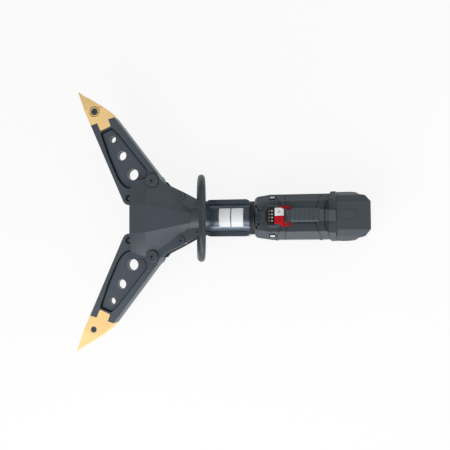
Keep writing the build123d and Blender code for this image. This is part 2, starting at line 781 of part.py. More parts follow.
# Cylinder block
def make_block():
    with BuildPart() as block:
        with BuildSketch(Plane.YZ.offset(at(BLOCK_FRONT))):
            Circle(NOSE_R)
        extrude(amount=BLOCK_STEP - BLOCK_FRONT)
        with BuildSketch(Plane.XY):
            with Locations((at((BLOCK_FRONT + BLOCK_STEP) / 2), 0)):
                Rectangle(BLOCK_STEP - BLOCK_FRONT, 2 * FLANGE_HALF)
        extrude(amount=COVER_IN, both=True)
        with BuildSketch(Plane.YZ.offset(at(COVER_REAR + LOCK_RING_L + 0.5))):
            Circle(BLOCK_R)
        extrude(amount=BLOCK_REAR - COVER_REAR - LOCK_RING_L - 0.5)
        with BuildSketch(Plane.XY):
            with Locations((at((BLOCK_STEP - 12 + BLOCK_REAR) / 2), 0)):
                RectangleRounded(BLOCK_REAR - BLOCK_STEP + 12, 2 * RAIL_HALF, 14)
        extrude(amount=RAIL_T / 2, both=True)
        # cylinder bore, gland seat and screw holes
        with BuildSketch(Plane.YZ.offset(CYL_BORE_START)):
            Circle(PISTON_R)
        extrude(amount=CYL_BORE_END - CYL_BORE_START, mode=Mode.SUBTRACT)
        with BuildSketch(Plane.YZ.offset(at(BLOCK_FRONT))):
            Circle(PISTON_R - 4 + SEAT)
        extrude(amount=CYL_BORE_START - at(BLOCK_FRONT), mode=Mode.SUBTRACT)
        with BuildSketch(Plane.XY):
            with Locations(*[(at(REAR_SCREW[0]), s * REAR_SCREW[1]) for s in (-1, 1)]):
                Circle(SMALL_SCREW_R + SEAT)
        extrude(amount=2 * COVER_IN, both=True, mode=Mode.SUBTRACT)
        for side in (-1, 1):
            with BuildSketch(Plane.XZ.offset(-side * FLANGE_HALF)):
                with Locations((at(RING_AT), 11), (at(RING_AT), -11)):
                    Circle(4 + SEAT)
            extrude(amount=side * 5, mode=Mode.SUBTRACT)
        # grooves where the crown meets the rails
        for side in (-1, 1):
            for level in (-1, 1):
                with BuildSketch(Plane.YZ.offset(at(BLOCK_STEP - 12))):
                    with Locations((side * 40, level * (RAIL_T / 2))):
                        Circle(1.6)
                extrude(amount=BLOCK_REAR - BLOCK_STEP, mode=Mode.SUBTRACT)
    return block


def make_lock_ring():
    """Notched ring screwed on the block's nose behind the covers."""
    with BuildPart() as ring:
        with BuildSketch(Plane.YZ.offset(at(COVER_REAR))):
            Circle(NOSE_R + 7)
            Circle(NOSE_R + SEAT, mode=Mode.SUBTRACT)
            with PolarLocations(NOSE_R + 7, 24):
                Rectangle(6, 4.5, mode=Mode.SUBTRACT)
            Rectangle(200, 2 * COVER_IN + 1, mode=Mode.SUBTRACT)
        extrude(amount=LOCK_RING_L)
    return ring


# Carrying ring
def ring_plane(offset=0.0):
    lean = math.radians(RING_LEAN)
    normal = (math.cos(lean), 0, -math.sin(lean))
    up = (math.sin(lean), 0, math.cos(lean))
    origin = Vector(at(RING_AT), 0, 0) + Vector(*normal) * offset
    return Plane(origin=origin, x_dir=(0, 1, 0), z_dir=normal), Vector(*up)


def make_carry_ring():
    half_w = RING_W / 2 - RING_TUBE_R
    half_h = RING_H / 2 - RING_TUBE_R
    plane = ring_plane()[0]
    with BuildPart() as ring:
        with BuildLine(plane) as path:
            upper = [(half_w, half_h), (-half_w, half_h)]
            lower = [(-half_w, -half_h), (half_w, -half_h)]
            radii = [0] + 4 * [RING_CORNER]
            FilletPolyline((half_w, 0), *upper, *lower, radius=radii, close=True)
        with BuildSketch(Plane(origin=plane.from_local_coords((half_w, 0, 0)), z_dir=plane.y_dir)):
            Circle(RING_TUBE_R)
        sweep()
        # welded lugs that reach in to the block
        for side in (-1, 1):
            inner = FLANGE_HALF + SEAT
            with BuildSketch(Plane.XY):
                front = [(-12, inner), (-12, inner + 7), (-LUG_T / 2, inner + 13), (-LUG_T / 2, half_w)]
                rear = [(-x, y) for x, y in reversed(front)]
                with BuildLine():
                    Polyline(*[(at(RING_AT) + x, side * y) for x, y in front + rear], close=True)
                make_face()
            extrude(amount=LUG_H / 2, both=True)
            with BuildSketch(Plane.XZ.offset(-side * inner)):
                with Locations((at(RING_AT), 11), (at(RING_AT), -11)):
                    Circle(4 + SEAT)
            extrude(amount=-side * 40, mode=Mode.SUBTRACT)
            with BuildSketch(Plane.XZ.offset(-side * (inner + 8))):
                with Locations((at(RING_AT), 11), (at(RING_AT), -11)):
                    Circle(7)
            extrude(amount=-side * 32, mode=Mode.SUBTRACT)
    return ring


def make_ring_screws():
    with BuildPart() as screws:
        for side in (-1, 1):
            inner = FLANGE_HALF + SEAT
            with BuildSketch(Plane.XZ.offset(-side * (inner + 8))):
                with Locations((at(RING_AT), 11), (at(RING_AT), -11)):
                    Circle(4)
            extrude(amount=side * 12.5)
            with BuildSketch(Plane.XZ.offset(-side * (inner + 8))):
                with Locations((at(RING_AT), 11), (at(RING_AT), -11)):
                    Circle(6.5)
            extrude(amount=-side * 6)
            with BuildSketch(Plane.XZ.offset(-side * (inner + 14))):
                with Locations((at(RING_AT), 11), (at(RING_AT), -11)):
                    RegularPolygon(3, 6)
            extrude(amount=side * 3, mode=Mode.SUBTRACT)
    return screws


# Rear unit
def body_outline(half, top, bottom, play=0.0):
    """Eight-sided section of the rear unit as (Y, Z) corners, drawn in by play."""
    upper = 22 - 0.4 * play
    lower = 22 - 0.4 * play
    half, top, bottom = half - play, top - play, bottom + play
    return [
        (half - upper, top), (half, top - upper), (half, bottom + lower), (half - lower, bottom),
        (lower - half, bottom), (-half, bottom + lower), (-half, top - upper), (upper - half, top),
    ]


def collar_outline():
    """Plan of everything behind the collar's front edge, which sweeps back at both sides."""
    beside = BODY_HALF + 12
    edge = [(COLLAR_START, 26), (COLLAR_START + 12, 54), (COLLAR_START + COLLAR_SWEEP, beside)]
    return mirrored_outline(edge + [(REAR_END, beside)])


def make_neck():
    """Dark round collar between the cylinder block and the rear unit."""
    with BuildPart() as neck:
        with BuildSketch(Plane.YZ.offset(at(BLOCK_REAR))):
            Circle(NECK_R)
        extrude(amount=NOSE_START - BLOCK_REAR)
        for station in (3.0, 8.0):
            with BuildSketch(Plane.YZ.offset(at(BLOCK_REAR + station))):
                Circle(NECK_R + 2)
                Circle(NECK_R - 3, mode=Mode.SUBTRACT)
            extrude(amount=3, mode=Mode.SUBTRACT)
    return neck


def make_nose():
    """Nose cover that widens from the neck to the rear unit's full section."""
    length = BODY_START - NOSE_START
    with BuildPart() as nose:
        sections = [
            (0.0, 55.0, 43.0, -66.0),
            (8.0, 60.5, 47.0, -74.0),
            (length, BODY_HALF, BODY_TOP, BODY_BOTTOM),
        ]
        for first, second in zip(sections[:-1], sections[1:]):
            for station, half, top, bottom in (first, second):
                with BuildSketch(Plane.YZ.offset(at(NOSE_START + station))):
                    with BuildLine():
                        Polyline(*body_outline(half, top, bottom), close=True)
                    make_face()
            loft(ruled=True)
        # front of the control head
        with BuildSketch(Plane.XZ):
            with BuildLine():
                foot = [(NOSE_START + 6, HEAD_ROOT), (NOSE_START + 12, BODY_TOP + 2)]
                brow = [(BODY_START - 13, HEAD_TOP - 4), (BODY_START - 9, HEAD_TOP), (BODY_START, HEAD_TOP)]
                profile = foot + brow + [(BODY_START, HEAD_ROOT)]
                Polyline(*[(at(x), z) for x, z in profile], close=True)
            make_face()
        extrude(amount=HEAD_HALF, both=True)
        with BuildSketch(Plane.XY.offset(BODY_TOP + 0.2)):
            corner = [(NOSE_START, 14), (PANEL_FRONT - 6, 14), (PANEL_FRONT + 1, 21), (BODY_START, HEAD_HALF)]
            outside = [(BODY_START, HEAD_FOOT + 5), (NOSE_START, HEAD_FOOT + 5)]
            for edge in (-1, 1):
                with BuildLine():
                    Polyline(*[(at(x), edge * y) for x, y in corner + outside], close=True)
                make_face()
        extrude(amount=60, mode=Mode.SUBTRACT)
        # inside
        with BuildSketch(Plane.YZ.offset(at(BODY_START))):
            with BuildLine():
                Polyline(*body_outline(BODY_HALF, BODY_TOP, BODY_BOTTOM, 9.0), close=True)
            make_face()
        extrude(amount=-(length - NOSE_WALL), mode=Mode.SUBTRACT)
        # vents at both sides of the nose and a small grille in front
        for side in (-1, 1):
            with BuildSketch(Plane.XY.offset(20)):
                with Locations((at(NOSE_START + 6), side * 30), (at(NOSE_START + 13), side * 21)):
                    RectangleRounded(4.5, 7, 1.5)
            extrude(amount=100, mode=Mode.SUBTRACT)
        with BuildSketch(Plane.XY.offset(30)):
            with GridLocations(3.6, 5, 2, 4):
                with Locations((at(NOSE_START + 8), 0)):
                    Circle(1.2)
        extrude(amount=100, mode=Mode.SUBTRACT)
    return nose


def make_seams():
    """Narrow panel lines in the skin of the rear unit, slanting back from the handle to its sides."""
    with BuildPart() as seams:
        with BuildSketch(Plane.XY.offset(10)):
            for edge in (-1, 1):
                for (x0, y0), (x1, y1) in BODY_SEAMS:
                    middle = ((at(x0) + at(x1)) / 2, edge * (y0 + y1) / 2)
                    run = math.hypot(x1 - x0, y1 - y0) + 6
                    heading = math.degrees(math.atan2(edge * (y1 - y0), x1 - x0))
                    with Locations(Location(middle, heading)):
                        Rectangle(run, SEAM_W)
        extrude(amount=60)
        with BuildSketch(Plane.YZ.offset(at(BODY_START + 2))):
            with BuildLine():
                Polyline(*body_outline(BODY_HALF + 3, BODY_TOP + 3, BODY_BOTTOM), close=True)
            make_face()
            with BuildLine():
                Polyline(*body_outline(BODY_HALF, BODY_TOP, BODY_BOTTOM, SEAM_DEPTH), close=True)
            make_face(mode=Mode.SUBTRACT)
        extrude(amount=COLLAR_START - BODY_START - 4, mode=Mode.INTERSECT)
    return seams.part


def make_shell(side):
    """One half of the rear unit's housing with its half of the loop handle."""
    grip_core = GRIP_HALF - 3
    with BuildPart() as shell:
        with BuildSketch(Plane.YZ.offset(at(BODY_START))):
            with BuildLine():
                Polyline(*body_outline(BODY_HALF, BODY_TOP, BODY_BOTTOM), close=True)
            make_face()
        extrude(amount=COLLAR_START + COLLAR_SWEEP - BODY_START)
        # control head, narrowing to the handle
        flare = HEAD_FOOT - HEAD_HALF
        for height, spread in ((BODY_TOP - 10, flare), (BODY_TOP + 8, flare - 2), (HEAD_TOP, 0)):
            with BuildSketch(Plane.XY.offset(height)):
                with BuildLine():
                    half = [(BODY_START, HEAD_HALF)] + HEAD_WAIST
                    wider = [(x, y + spread * (y - grip_core) / (HEAD_HALF - grip_core)) for x, y in half]
                    Polyline(*mirrored_outline(wider), close=True)
                make_face()
        loft(ruled=True)
        # loop handle
        with BuildSketch(Plane.XZ):
            with BuildLine():
                root = BODY_TOP - 10
                front = [(BUTTON_REAR - 12, root), (BUTTON_REAR - 12, HEAD_TOP), (BUTTON_REAR + 3, HEAD_TOP)]
                rise = [(NECK_IN - 6, GRIP_TOP - 9), (NECK_IN + 2, GRIP_TOP - 3)]
                fall = [(GRIP_REAR - 6, GRIP_TOP - 3), (GRIP_REAR + 6, GRIP_TOP - 12)]
                rear = [(COLLAR_START, GRIP_TOP - 24), (COLLAR_START, root)]
                Polyline(*[(at(x), z) for x, z in front + rise + fall + rear], close=True)
            make_face()
        extrude(amount=grip_core, both=True)
        with BuildSketch(Plane.XZ):
            with Locations((at((FINGER_FRONT + GRIP_REAR) / 2), (FINGER_LOW + GRIP_BOTTOM) / 2)):
                RectangleRounded(GRIP_REAR - FINGER_FRONT, GRIP_BOTTOM - FINGER_LOW, 14)
        extrude(amount=60, both=True, mode=Mode.SUBTRACT)
        # inside of the body and of the control head
        with BuildSketch(Plane.YZ.offset(at(BODY_START))):
            with BuildLine():
                Polyline(*body_outline(BODY_HALF, BODY_TOP, BODY_BOTTOM, WALL), close=True)
            make_face()
        extrude(amount=COLLAR_START + COLLAR_SWEEP - BODY_START, mode=Mode.SUBTRACT)
        with BuildSketch(Plane.XY.offset(BATTERY_BOTTOM)):
            with BuildLine():
                Polyline(*collar_outline(), close=True)
            make_face()
        extrude(amount=GRIP_TOP - BATTERY_BOTTOM, mode=Mode.SUBTRACT)
        with BuildSketch(Plane.XY.offset(BODY_TOP - 10)):
            with BuildLine():
                wide = [(BODY_START, HEAD_HALF - WALL), (HEAD_WAIST[0][0] - 2, HEAD_HALF - WALL)]
                narrow = [(HEAD_WAIST[2][0] - 4, HEAD_WAIST[2][1] - WALL), (HEAD_WALL_IN, grip_core - WALL)]
                Polyline(*mirrored_outline(wide + narrow), close=True)
            make_face()
        extrude(amount=HEAD_TOP - BODY_TOP + 10 - WALL, mode=Mode.SUBTRACT)
        # window for the panel and the two buttons
        with BuildSketch(Plane.XY.offset(HEAD_TOP - 20)):
            with Locations((at((PANEL_FRONT + 10 + BUTTON_REAR) / 2), 0)):
                Rectangle(BUTTON_REAR - PANEL_FRONT - 10 + 2 * GAP, 2 * BUTTON_HALF)
        extrude(amount=40, mode=Mode.SUBTRACT)
        # side slots for the lever's wings
        with BuildSketch(Plane.XZ):
            with Locations((at((WING_FRONT - 2.5 + 417.8) / 2), LEVER_Z + 9)):
                RectangleRounded(417.8 - WING_FRONT + 2.5, 21, 4)
        extrude(amount=60, both=True, mode=Mode.SUBTRACT)
        # pockets for the lamps on the shoulders
        with BuildSketch(Plane.YZ.offset(at(BODY_START + 1))):
            for edge in (-1, 1):
                with Locations(Location((edge * (BODY_HALF - 11), BODY_TOP - 11), -45 * edge)):
                    Rectangle(LAMP_W, LAMP_T)
        extrude(amount=LAMP_L, mode=Mode.SUBTRACT)
        # trough under the grip
        with BuildSketch(Plane.XY.offset(BODY_TOP - 1.8)):
            with Locations((at((FINGER_FRONT + GRIP_REAR) / 2 - 2), 0)):
                RectangleRounded(GRIP_REAR - FINGER_FRONT - 18, 42, 8)
        extrude(amount=GRIP_BOTTOM - 4 - BODY_TOP + 1.8, mode=Mode.SUBTRACT)
        # two ribs that hold the motor
        for station in (MOTOR_START + 8, MOTOR_END - 14):
            with BuildSketch(Plane.YZ.offset(at(station))):
                with BuildLine():
                    Polyline(*body_outline(BODY_HALF, MOTOR_Z + 8, BODY_BOTTOM, WALL - 0.5), close=True)
                make_face()
                with Locations((0, MOTOR_Z)):
                    Circle(MOTOR_R + SEAT, mode=Mode.SUBTRACT)
                with Locations((0, BODY_BOTTOM)):
                    Rectangle(76, 56, mode=Mode.SUBTRACT)
            extrude(amount=4)
        # holes for the housing screws
        if side < 0:
            with BuildSketch(Plane.XZ.offset(BODY_HALF + 1)):
                with Locations([(at(station), z) for station, z in SHELL_SCREWS]):
                    Circle(SHELL_SCREW_R + SEAT)
            extrude(amount=-(WALL + 3), mode=Mode.SUBTRACT)
        add(make_seams(), mode=Mode.SUBTRACT)
        split(bisect_by=Plane.XZ, keep=Keep.BOTTOM if side > 0 else Keep.TOP)
    return shell


def make_grip():
    """Ribbed soft cover over the handle's bar."""
    start = NECK_IN + 3
    end = GRIP_REAR - 8
    core = GRIP_HALF - 3
    with BuildPart() as grip:
        with BuildSketch(Plane.YZ.offset(at(start))):
            with Locations((0, (GRIP_TOP + GRIP_BOTTOM) / 2 + 4)):
                RectangleRounded(2 * GRIP_HALF, GRIP_TOP - GRIP_BOTTOM - 8, 7)
            with Locations((0, (GRIP_TOP + GRIP_BOTTOM) / 2 - 5)):
                Rectangle(2 * core + 2 * SEAT, GRIP_TOP - GRIP_BOTTOM + 4 + 2 * SEAT, mode=Mode.SUBTRACT)
        extrude(amount=end - start)
        count = 6
        pitch = (end - start) / count
        for index in range(count):
            with BuildSketch(Plane.XZ):
                with Locations((at(start + pitch * (index + 1) - 2), GRIP_TOP + 1.6)):
                    Circle(3.4)
            extrude(amount=GRIP_HALF, both=True, mode=Mode.SUBTRACT)
    return grip


def make_collar():
    """Rear collar that the battery slides into."""
    middle = COLLAR_START + 12
    with BuildPart() as collar:
        steps = [
            (COLLAR_START, BODY_HALF - 1, BODY_TOP + 2, BODY_BOTTOM),
            (middle, BATTERY_HALF - 1, BODY_TOP + 12, BATTERY_BOTTOM),
            (BATTERY_START, BATTERY_HALF, BATTERY_TOP + 2, BATTERY_BOTTOM),
        ]
        for first, second in zip(steps[:-1], steps[1:]):
            for station, half, top, bottom in (first, second):
                with BuildSketch(Plane.YZ.offset(at(station))):
                    with BuildLine():
                        Polyline(*body_outline(half, top, bottom), close=True)
                    make_face()
            loft(ruled=True)
        with BuildSketch(Plane.XZ):
            with BuildLine():
                ramp = [(COLLAR_START, GRIP_TOP - 24), (COLLAR_START + 12, GRIP_TOP - 36)]
                root = BODY_TOP - 10
                base = [(BATTERY_START, BATTERY_TOP + 6), (BATTERY_START, root), (COLLAR_START, root)]
                Polyline(*[(at(x), z) for x, z in ramp + base], close=True)
            make_face()
        extrude(amount=GRIP_HALF - 3, both=True)
        with BuildSketch(Plane.YZ.offset(at(COLLAR_START))):
            with BuildLine():
                Polyline(*body_outline(BODY_HALF, BODY_TOP, BODY_BOTTOM, PLUG_INSET), close=True)
            make_face()
        extrude(amount=BATTERY_START - COLLAR_START, mode=Mode.SUBTRACT)
        with BuildSketch(Plane.XY.offset(BATTERY_BOTTOM)):
            with BuildLine():
                Polyline(*collar_outline(), close=True)
            make_face()
        extrude(amount=GRIP_TOP - BATTERY_BOTTOM, mode=Mode.INTERSECT)
        # guide slots for the battery's side rails
        with BuildSketch(Plane.YZ.offset(at(BATTERY_START))):
            Rectangle(2 * (BATTERY_HALF - PLUG_INSET) + 2 * GAP, SIDE_RAIL_H + 2 * GAP)
        extrude(amount=-PLUG_L, mode=Mode.SUBTRACT)
    return collar


def make_panel():
    """Eight-sided indicator panel with a through hole for each light."""
    length = PANEL_REAR - PANEL_FRONT
    middle = (PANEL_FRONT + PANEL_REAR) / 2
    with BuildPart() as panel:
        with BuildSketch(Plane.XY.offset(HEAD_TOP + SEAT)):
            with Locations((at(middle), 0)):
                Rectangle(length - 2 * GAP, 50)
            chamfer(vertices().group_by(Axis.X)[0], 10)
            with Locations((at(middle + 2.5), 0)):
                with GridLocations(8, 9.4, 2, 4):
                    Circle(2.3, mode=Mode.SUBTRACT)
        extrude(amount=3)
    return panel


def make_lights():
    middle = (PANEL_FRONT + PANEL_REAR) / 2
    with BuildPart() as lights:
        with BuildSketch(Plane.XY.offset(HEAD_TOP + SEAT)):
            with Locations((at(middle + 2.5), 0)):
                with GridLocations(8, 9.4, 2, 4):
                    Circle(2.3 - SEAT)
        extrude(amount=3.5)
    return lights


def make_button(side):
    """Half of the round-cornered button pad; the white one works the lamps, the red one the power."""
    with BuildPart() as button:
        with BuildSketch(Plane.XY.offset(HEAD_TOP - 4)):
            with Locations((at((PANEL_REAR + BUTTON_REAR) / 2), side * BUTTON_HALF / 2)):
                Rectangle(BUTTON_REAR - PANEL_REAR - 2 * GAP, BUTTON_HALF - 2 * GAP)
            fillet(vertices().sort_by(Axis.X)[-2:].sort_by(Axis.Y)[-1 if side > 0 else 0], 9)
        extrude(amount=7.5)
        fillet(button.faces().sort_by(Axis.Z)[-1].edges(), 1.2)
    return button


def make_lever():
    """Control lever: a hub on the control shaft with a wing out of each side of the handle."""
    with BuildPart() as lever:
        with BuildSketch(Plane.YZ.offset(at(HUB_START))):
            with Locations((0, LEVER_Z)):
                Circle(HUB_LEVER_R)
                Circle(SHAFT_R + SEAT, mode=Mode.SUBTRACT)
        extrude(amount=HUB_END - HUB_START)
        for side in (-1, 1):
            with BuildSketch(Plane.XY.offset(LEVER_Z + 6)):
                front = [(HUB_START, 6), (WING_FRONT, 24), (WING_FRONT - 1, 29.5), (WING_FRONT + 3, 31)]
                rear = [(WING_FRONT + 14, 28.6), (WING_REAR - 3, 27.4), (WING_REAR, 24.5)]
                root = [(WING_REAR - 4, 18.5), (HUB_END, 6)]
                with BuildLine():
                    Polyline(*[(at(x), side * y) for x, y in front + rear + root], close=True)
                make_face()
            extrude(amount=6)
    return lever


def make_control_shaft():
    """Shaft from the lever to the rotary valve on the pump."""
    with BuildPart() as shaft:
        with BuildSketch(Plane.YZ.offset(at(BODY_START + 4))):
            with Locations((0, LEVER_Z)):
                Circle(SHAFT_R)
        extrude(amount=HUB_END - BODY_START - 4)
    return shaft


def make_valve():
    """Rotary valve block that stands on the pump and carries the control shaft."""
    with BuildPart() as valve:
        with BuildSketch(Plane.YZ.offset(at(BODY_START + 2))):
            with BuildLine():
                half = [(MOTOR_Z + PUMP_R + SEAT, 14), (LEVER_Z, 14), (LEVER_Z + 9, 8)]
                side = [(y, z) for z, y in half]
                Polyline(*side, *[(-y, z) for y, z in reversed(side)], close=True)
            make_face()
            with Locations((0, LEVER_Z)):
                Circle(SHAFT_R + RUN, mode=Mode.SUBTRACT)
        extrude(amount=13)
    return valve


def make_lever_spring():
    """Coil spring round the control shaft that brings the lever back to the middle."""
    start = (at(HUB_START - 1.5), 0, LEVER_Z)
    with BuildPart() as spring:
        with BuildLine() as coil:
            Helix(pitch=3.4, height=13.6, radius=6.4, center=start, direction=(-1, 0, 0))
        with BuildSketch(Plane(origin=coil.line @ 0, z_dir=coil.line % 0)):
            RegularPolygon(1.1, 6)
        sweep(is_frenet=True)
    return spring


def make_board():
    with BuildPart() as board:
        with BuildSketch(Plane.XY.offset(HEAD_TOP - 12)):
            with Locations((at((BODY_START + 2 + WING_FRONT - 4) / 2), 0)):
                Rectangle(WING_FRONT - 6 - BODY_START, 2 * (BUTTON_HALF - GAP))
        extrude(amount=1.6)
    return board


def make_lamps():
    """Two lamp windows on the shoulders of the rear unit."""
    with BuildPart() as lamps:
        with BuildSketch(Plane.YZ.offset(at(BODY_START + 1) + SEAT)):
            for edge in (-1, 1):
                with Locations(Location((edge * (BODY_HALF - 11), BODY_TOP - 11), -45 * edge)):
                    Rectangle(LAMP_W - 2 * SEAT, LAMP_T - 2 * SEAT)
        extrude(amount=LAMP_L - 2 * SEAT)
    return lamps


def round_bar(start, end, radius, bore=0.0, z=MOTOR_Z):
    """Ring or bar along X between two stations."""
    with BuildPart() as bar:
        with BuildSketch(Plane.YZ.offset(at(start))):
            with Locations((0, z)):
                Circle(radius)
                if bore:
                    Circle(bore, mode=Mode.SUBTRACT)
        extrude(amount=end - start)
    return bar


def make_rotor():
    """Motor rotor on its shaft, with the pump's eccentric at the front end."""
    with BuildPart() as rotor:
        steps = [
            (PUMP_START + 6, MOTOR_END - 4, 6.0, 0.0),
            (MOTOR_START + 22, MOTOR_END - 22, 22.0, 0.0),
            (PUMP_START + 12, PUMP_START + 24, 11.0, 2.5),
        ]
        for start, end, radius, shift in steps:
            with BuildSketch(Plane.YZ.offset(at(start))):
                with Locations((0, MOTOR_Z + shift)):
                    Circle(radius)
            extrude(amount=end - start)
    return rotor


def make_motor_case():
    """Motor can with closed ends that hold the two bearings."""
    with BuildPart() as case:
        with BuildSketch(Plane.YZ.offset(at(MOTOR_START))):
            with Locations((0, MOTOR_Z)):
                Circle(MOTOR_R)
        extrude(amount=MOTOR_END - MOTOR_START)
        with BuildSketch(Plane.YZ.offset(at(MOTOR_START + 6))):
            with Locations((0, MOTOR_Z)):
                Circle(MOTOR_R - 3)
        extrude(amount=MOTOR_END - MOTOR_START - 12, mode=Mode.SUBTRACT)
        with BuildSketch(Plane.YZ.offset(at(MOTOR_START))):
            with Locations((0, MOTOR_Z)):
                Circle(12 + SEAT)
        extrude(amount=MOTOR_END - MOTOR_START, mode=Mode.SUBTRACT)
    return case


def make_bearings():
    with BuildPart() as bearings:
        for start in (MOTOR_START + 0.5, MOTOR_END - 6.5):
            with BuildSketch(Plane.YZ.offset(at(start))):
                with Locations((0, MOTOR_Z)):
                    Circle(12)
                    Circle(6 + RUN, mode=Mode.SUBTRACT)
            extrude(amount=6)
    return bearings


def make_pump():
    """Pump body with three radial plunger bores round the eccentric."""
    with BuildPart() as pump:
        with BuildSketch(Plane.YZ.offset(at(PUMP_START))):
            with Locations((0, MOTOR_Z)):
                Circle(PUMP_R)
        extrude(amount=PUMP_END - PUMP_START)
        with BuildSketch(Plane.YZ.offset(at(PUMP_START + 5))):
            with Locations((0, MOTOR_Z)):
                Circle(15)
        extrude(amount=PUMP_END - PUMP_START - 5, mode=Mode.SUBTRACT)
        for angle in (90, 210, 330):
            heading = math.radians(angle)
            direction = (0, math.cos(heading), math.sin(heading))
            with BuildSketch(Plane(origin=(at(PUMP_START + 18), 0, MOTOR_Z), z_dir=direction)):
                Circle(5 + SEAT)
            extrude(amount=34, mode=Mode.SUBTRACT)
    return pump


def make_plungers():
    with BuildPart() as plungers:
        for angle in (90, 210, 330):
            heading = math.radians(angle)
            direction = Vector(0, math.cos(heading), math.sin(heading))
            start = Vector(at(PUMP_START + 18), 0, MOTOR_Z) + direction * 14
            with BuildSketch(Plane(origin=start, z_dir=direction)):
                Circle(5)
            extrude(amount=19)
    return plungers


def make_reservoir():
    """Oil bladder under the pump."""
    with BuildPart() as reservoir:
        with BuildSketch(Plane.XY.offset(BODY_BOTTOM + WALL + SEAT)):
            with Locations((at(BODY_START + 45), 0)):
                RectangleRounded(80, 70, 10)
        extrude(amount=MOTOR_Z - MOTOR_R - BODY_BOTTOM - WALL - 2)
    return reservoir


def make_body_screws():
    """Screws that clamp the two shells, heads on the left side."""
    with BuildPart() as screws:
        with BuildSketch(Plane.XZ.offset(BODY_HALF)):
            with Locations([(at(station), z) for station, z in SHELL_SCREWS]):
                Circle(2 * SHELL_SCREW_R)
        extrude(amount=1.5)
        with BuildSketch(Plane.XZ.offset(BODY_HALF + 0.5)):
            with Locations([(at(station), z) for station, z in SHELL_SCREWS]):
                RegularPolygon(SHELL_SCREW_R, 6)
        extrude(amount=2, mode=Mode.SUBTRACT)
        with BuildSketch(Plane.XZ.offset(BODY_HALF)):
            with Locations([(at(station), z) for station, z in SHELL_SCREWS]):
                Circle(SHELL_SCREW_R)
        extrude(amount=-(WALL + 1))
    return screws


# Battery
def make_battery_case():
    """Battery case with a raised middle block, tapering at the rear."""
    length = REAR_END - BATTERY_START
    with BuildPart() as case:
        with BuildSketch(Plane.XY.offset(BATTERY_BOTTOM)):
            with BuildLine():
                half = [(BATTERY_START + GAP, BATTERY_HALF - 1), (BATTERY_START + 44, BATTERY_HALF - 1),
                        (BATTERY_START + 57, BATTERY_HALF - 3), (BATTERY_START + 65, BATTERY_HALF - 9),
                        (BATTERY_START + 82, BATTERY_HALF - 13), (BATTERY_START + 90, BATTERY_HALF - 23),
                        (REAR_END, BATTERY_BLOCK_HALF)]
                Polyline(*mirrored_outline(half), close=True)
            make_face()
        extrude(amount=BATTERY_TOP - BATTERY_BOTTOM)
        # shoulders beside the middle block
        with BuildSketch(Plane.YZ.offset(at(BATTERY_START))):
            beside = BATTERY_HALF + 1
            step = [(BATTERY_BLOCK_HALF, BATTERY_TOP + 1), (BATTERY_BLOCK_HALF, BATTERY_TOP - 6)]
            low = BATTERY_TOP - 40
            slope = [(BATTERY_HALF - 12, BATTERY_TOP - 17), (beside, low), (beside, BATTERY_TOP + 1)]
            for edge in (-1, 1):
                with BuildLine():
                    Polyline(*[(edge * y, z) for y, z in step + slope], close=True)
                make_face()
        extrude(amount=length + 1, mode=Mode.SUBTRACT)
        # raised panel on the block
        with BuildSketch(Plane.XY.offset(BATTERY_TOP)):
            with Locations((at(BATTERY_START + 30), 0)):
                Rectangle(58, 30)
            with Locations((at(BATTERY_START + 30), 0)):
                Rectangle(50, 22, mode=Mode.SUBTRACT)
        extrude(amount=1.8)
        with BuildSketch(Plane.XY.offset(BATTERY_TOP)):
            with Locations((at(BATTERY_START + 30), 0)):
                Rectangle(50, 22)
        extrude(amount=0.9)
        # shallow ribs down the rear face
        with BuildSketch(Plane.YZ.offset(at(REAR_END))):
            with Locations((0, -20)):
                with GridLocations(16, 1, 4, 1):
                    RectangleRounded(5, 90, 2)
        extrude(amount=-2, mode=Mode.SUBTRACT)
        # room for the cells, open at the front
        with BuildSketch(Plane.YZ.offset(at(BATTERY_START))):
            with Locations((0, CELL_Z)):
                Rectangle(CELL_COLUMNS * CELL_PITCH, CELL_ROWS * CELL_PITCH)
        extrude(amount=CELL_L + 4, mode=Mode.SUBTRACT)
        # pockets for the side latches
        for side in (-1, 1):
            with BuildSketch(Plane.XZ.offset(-side * BATTERY_HALF)):
                with Locations((at(LATCH_AT), -2)):
                    RectangleRounded(LATCH_L + 2 * GAP, LATCH_H + 2 * GAP, 4)
            extrude(amount=side * LATCH_ROOM, mode=Mode.SUBTRACT)
    return case


def make_battery_front():
    """Front plate of the battery: plug for the rear collar with a rail at each side."""
    with BuildPart() as front:
        with BuildSketch(Plane.YZ.offset(at(BATTERY_START + GAP - SEAT))):
            with BuildLine():
                Polyline(*body_outline(BODY_HALF, BODY_TOP, BODY_BOTTOM, PLUG_INSET + GAP), close=True)
            make_face()
            Rectangle(2 * (BATTERY_HALF - PLUG_INSET), SIDE_RAIL_H)
        extrude(amount=-(PLUG_L - SEAT))
        # slots for the contact blades
        with BuildSketch(Plane.YZ.offset(at(BATTERY_START - PLUG_L - 1))):
            with Locations((0, CONTACT_Z)):
                with GridLocations(CONTACT_PITCH, 1, 4, 1):
                    Rectangle(3, 24)
        extrude(amount=10, mode=Mode.SUBTRACT)
    return front


def make_cells():
    """Round cells side by side in rows."""
    with BuildPart() as cells:
        with BuildSketch(Plane.YZ.offset(at(BATTERY_START + GAP + SEAT))):
            with Locations((0, CELL_Z)):
                with GridLocations(CELL_PITCH, CELL_PITCH, CELL_COLUMNS, CELL_ROWS):
                    Circle(CELL_R)
        extrude(amount=CELL_L)
    return cells


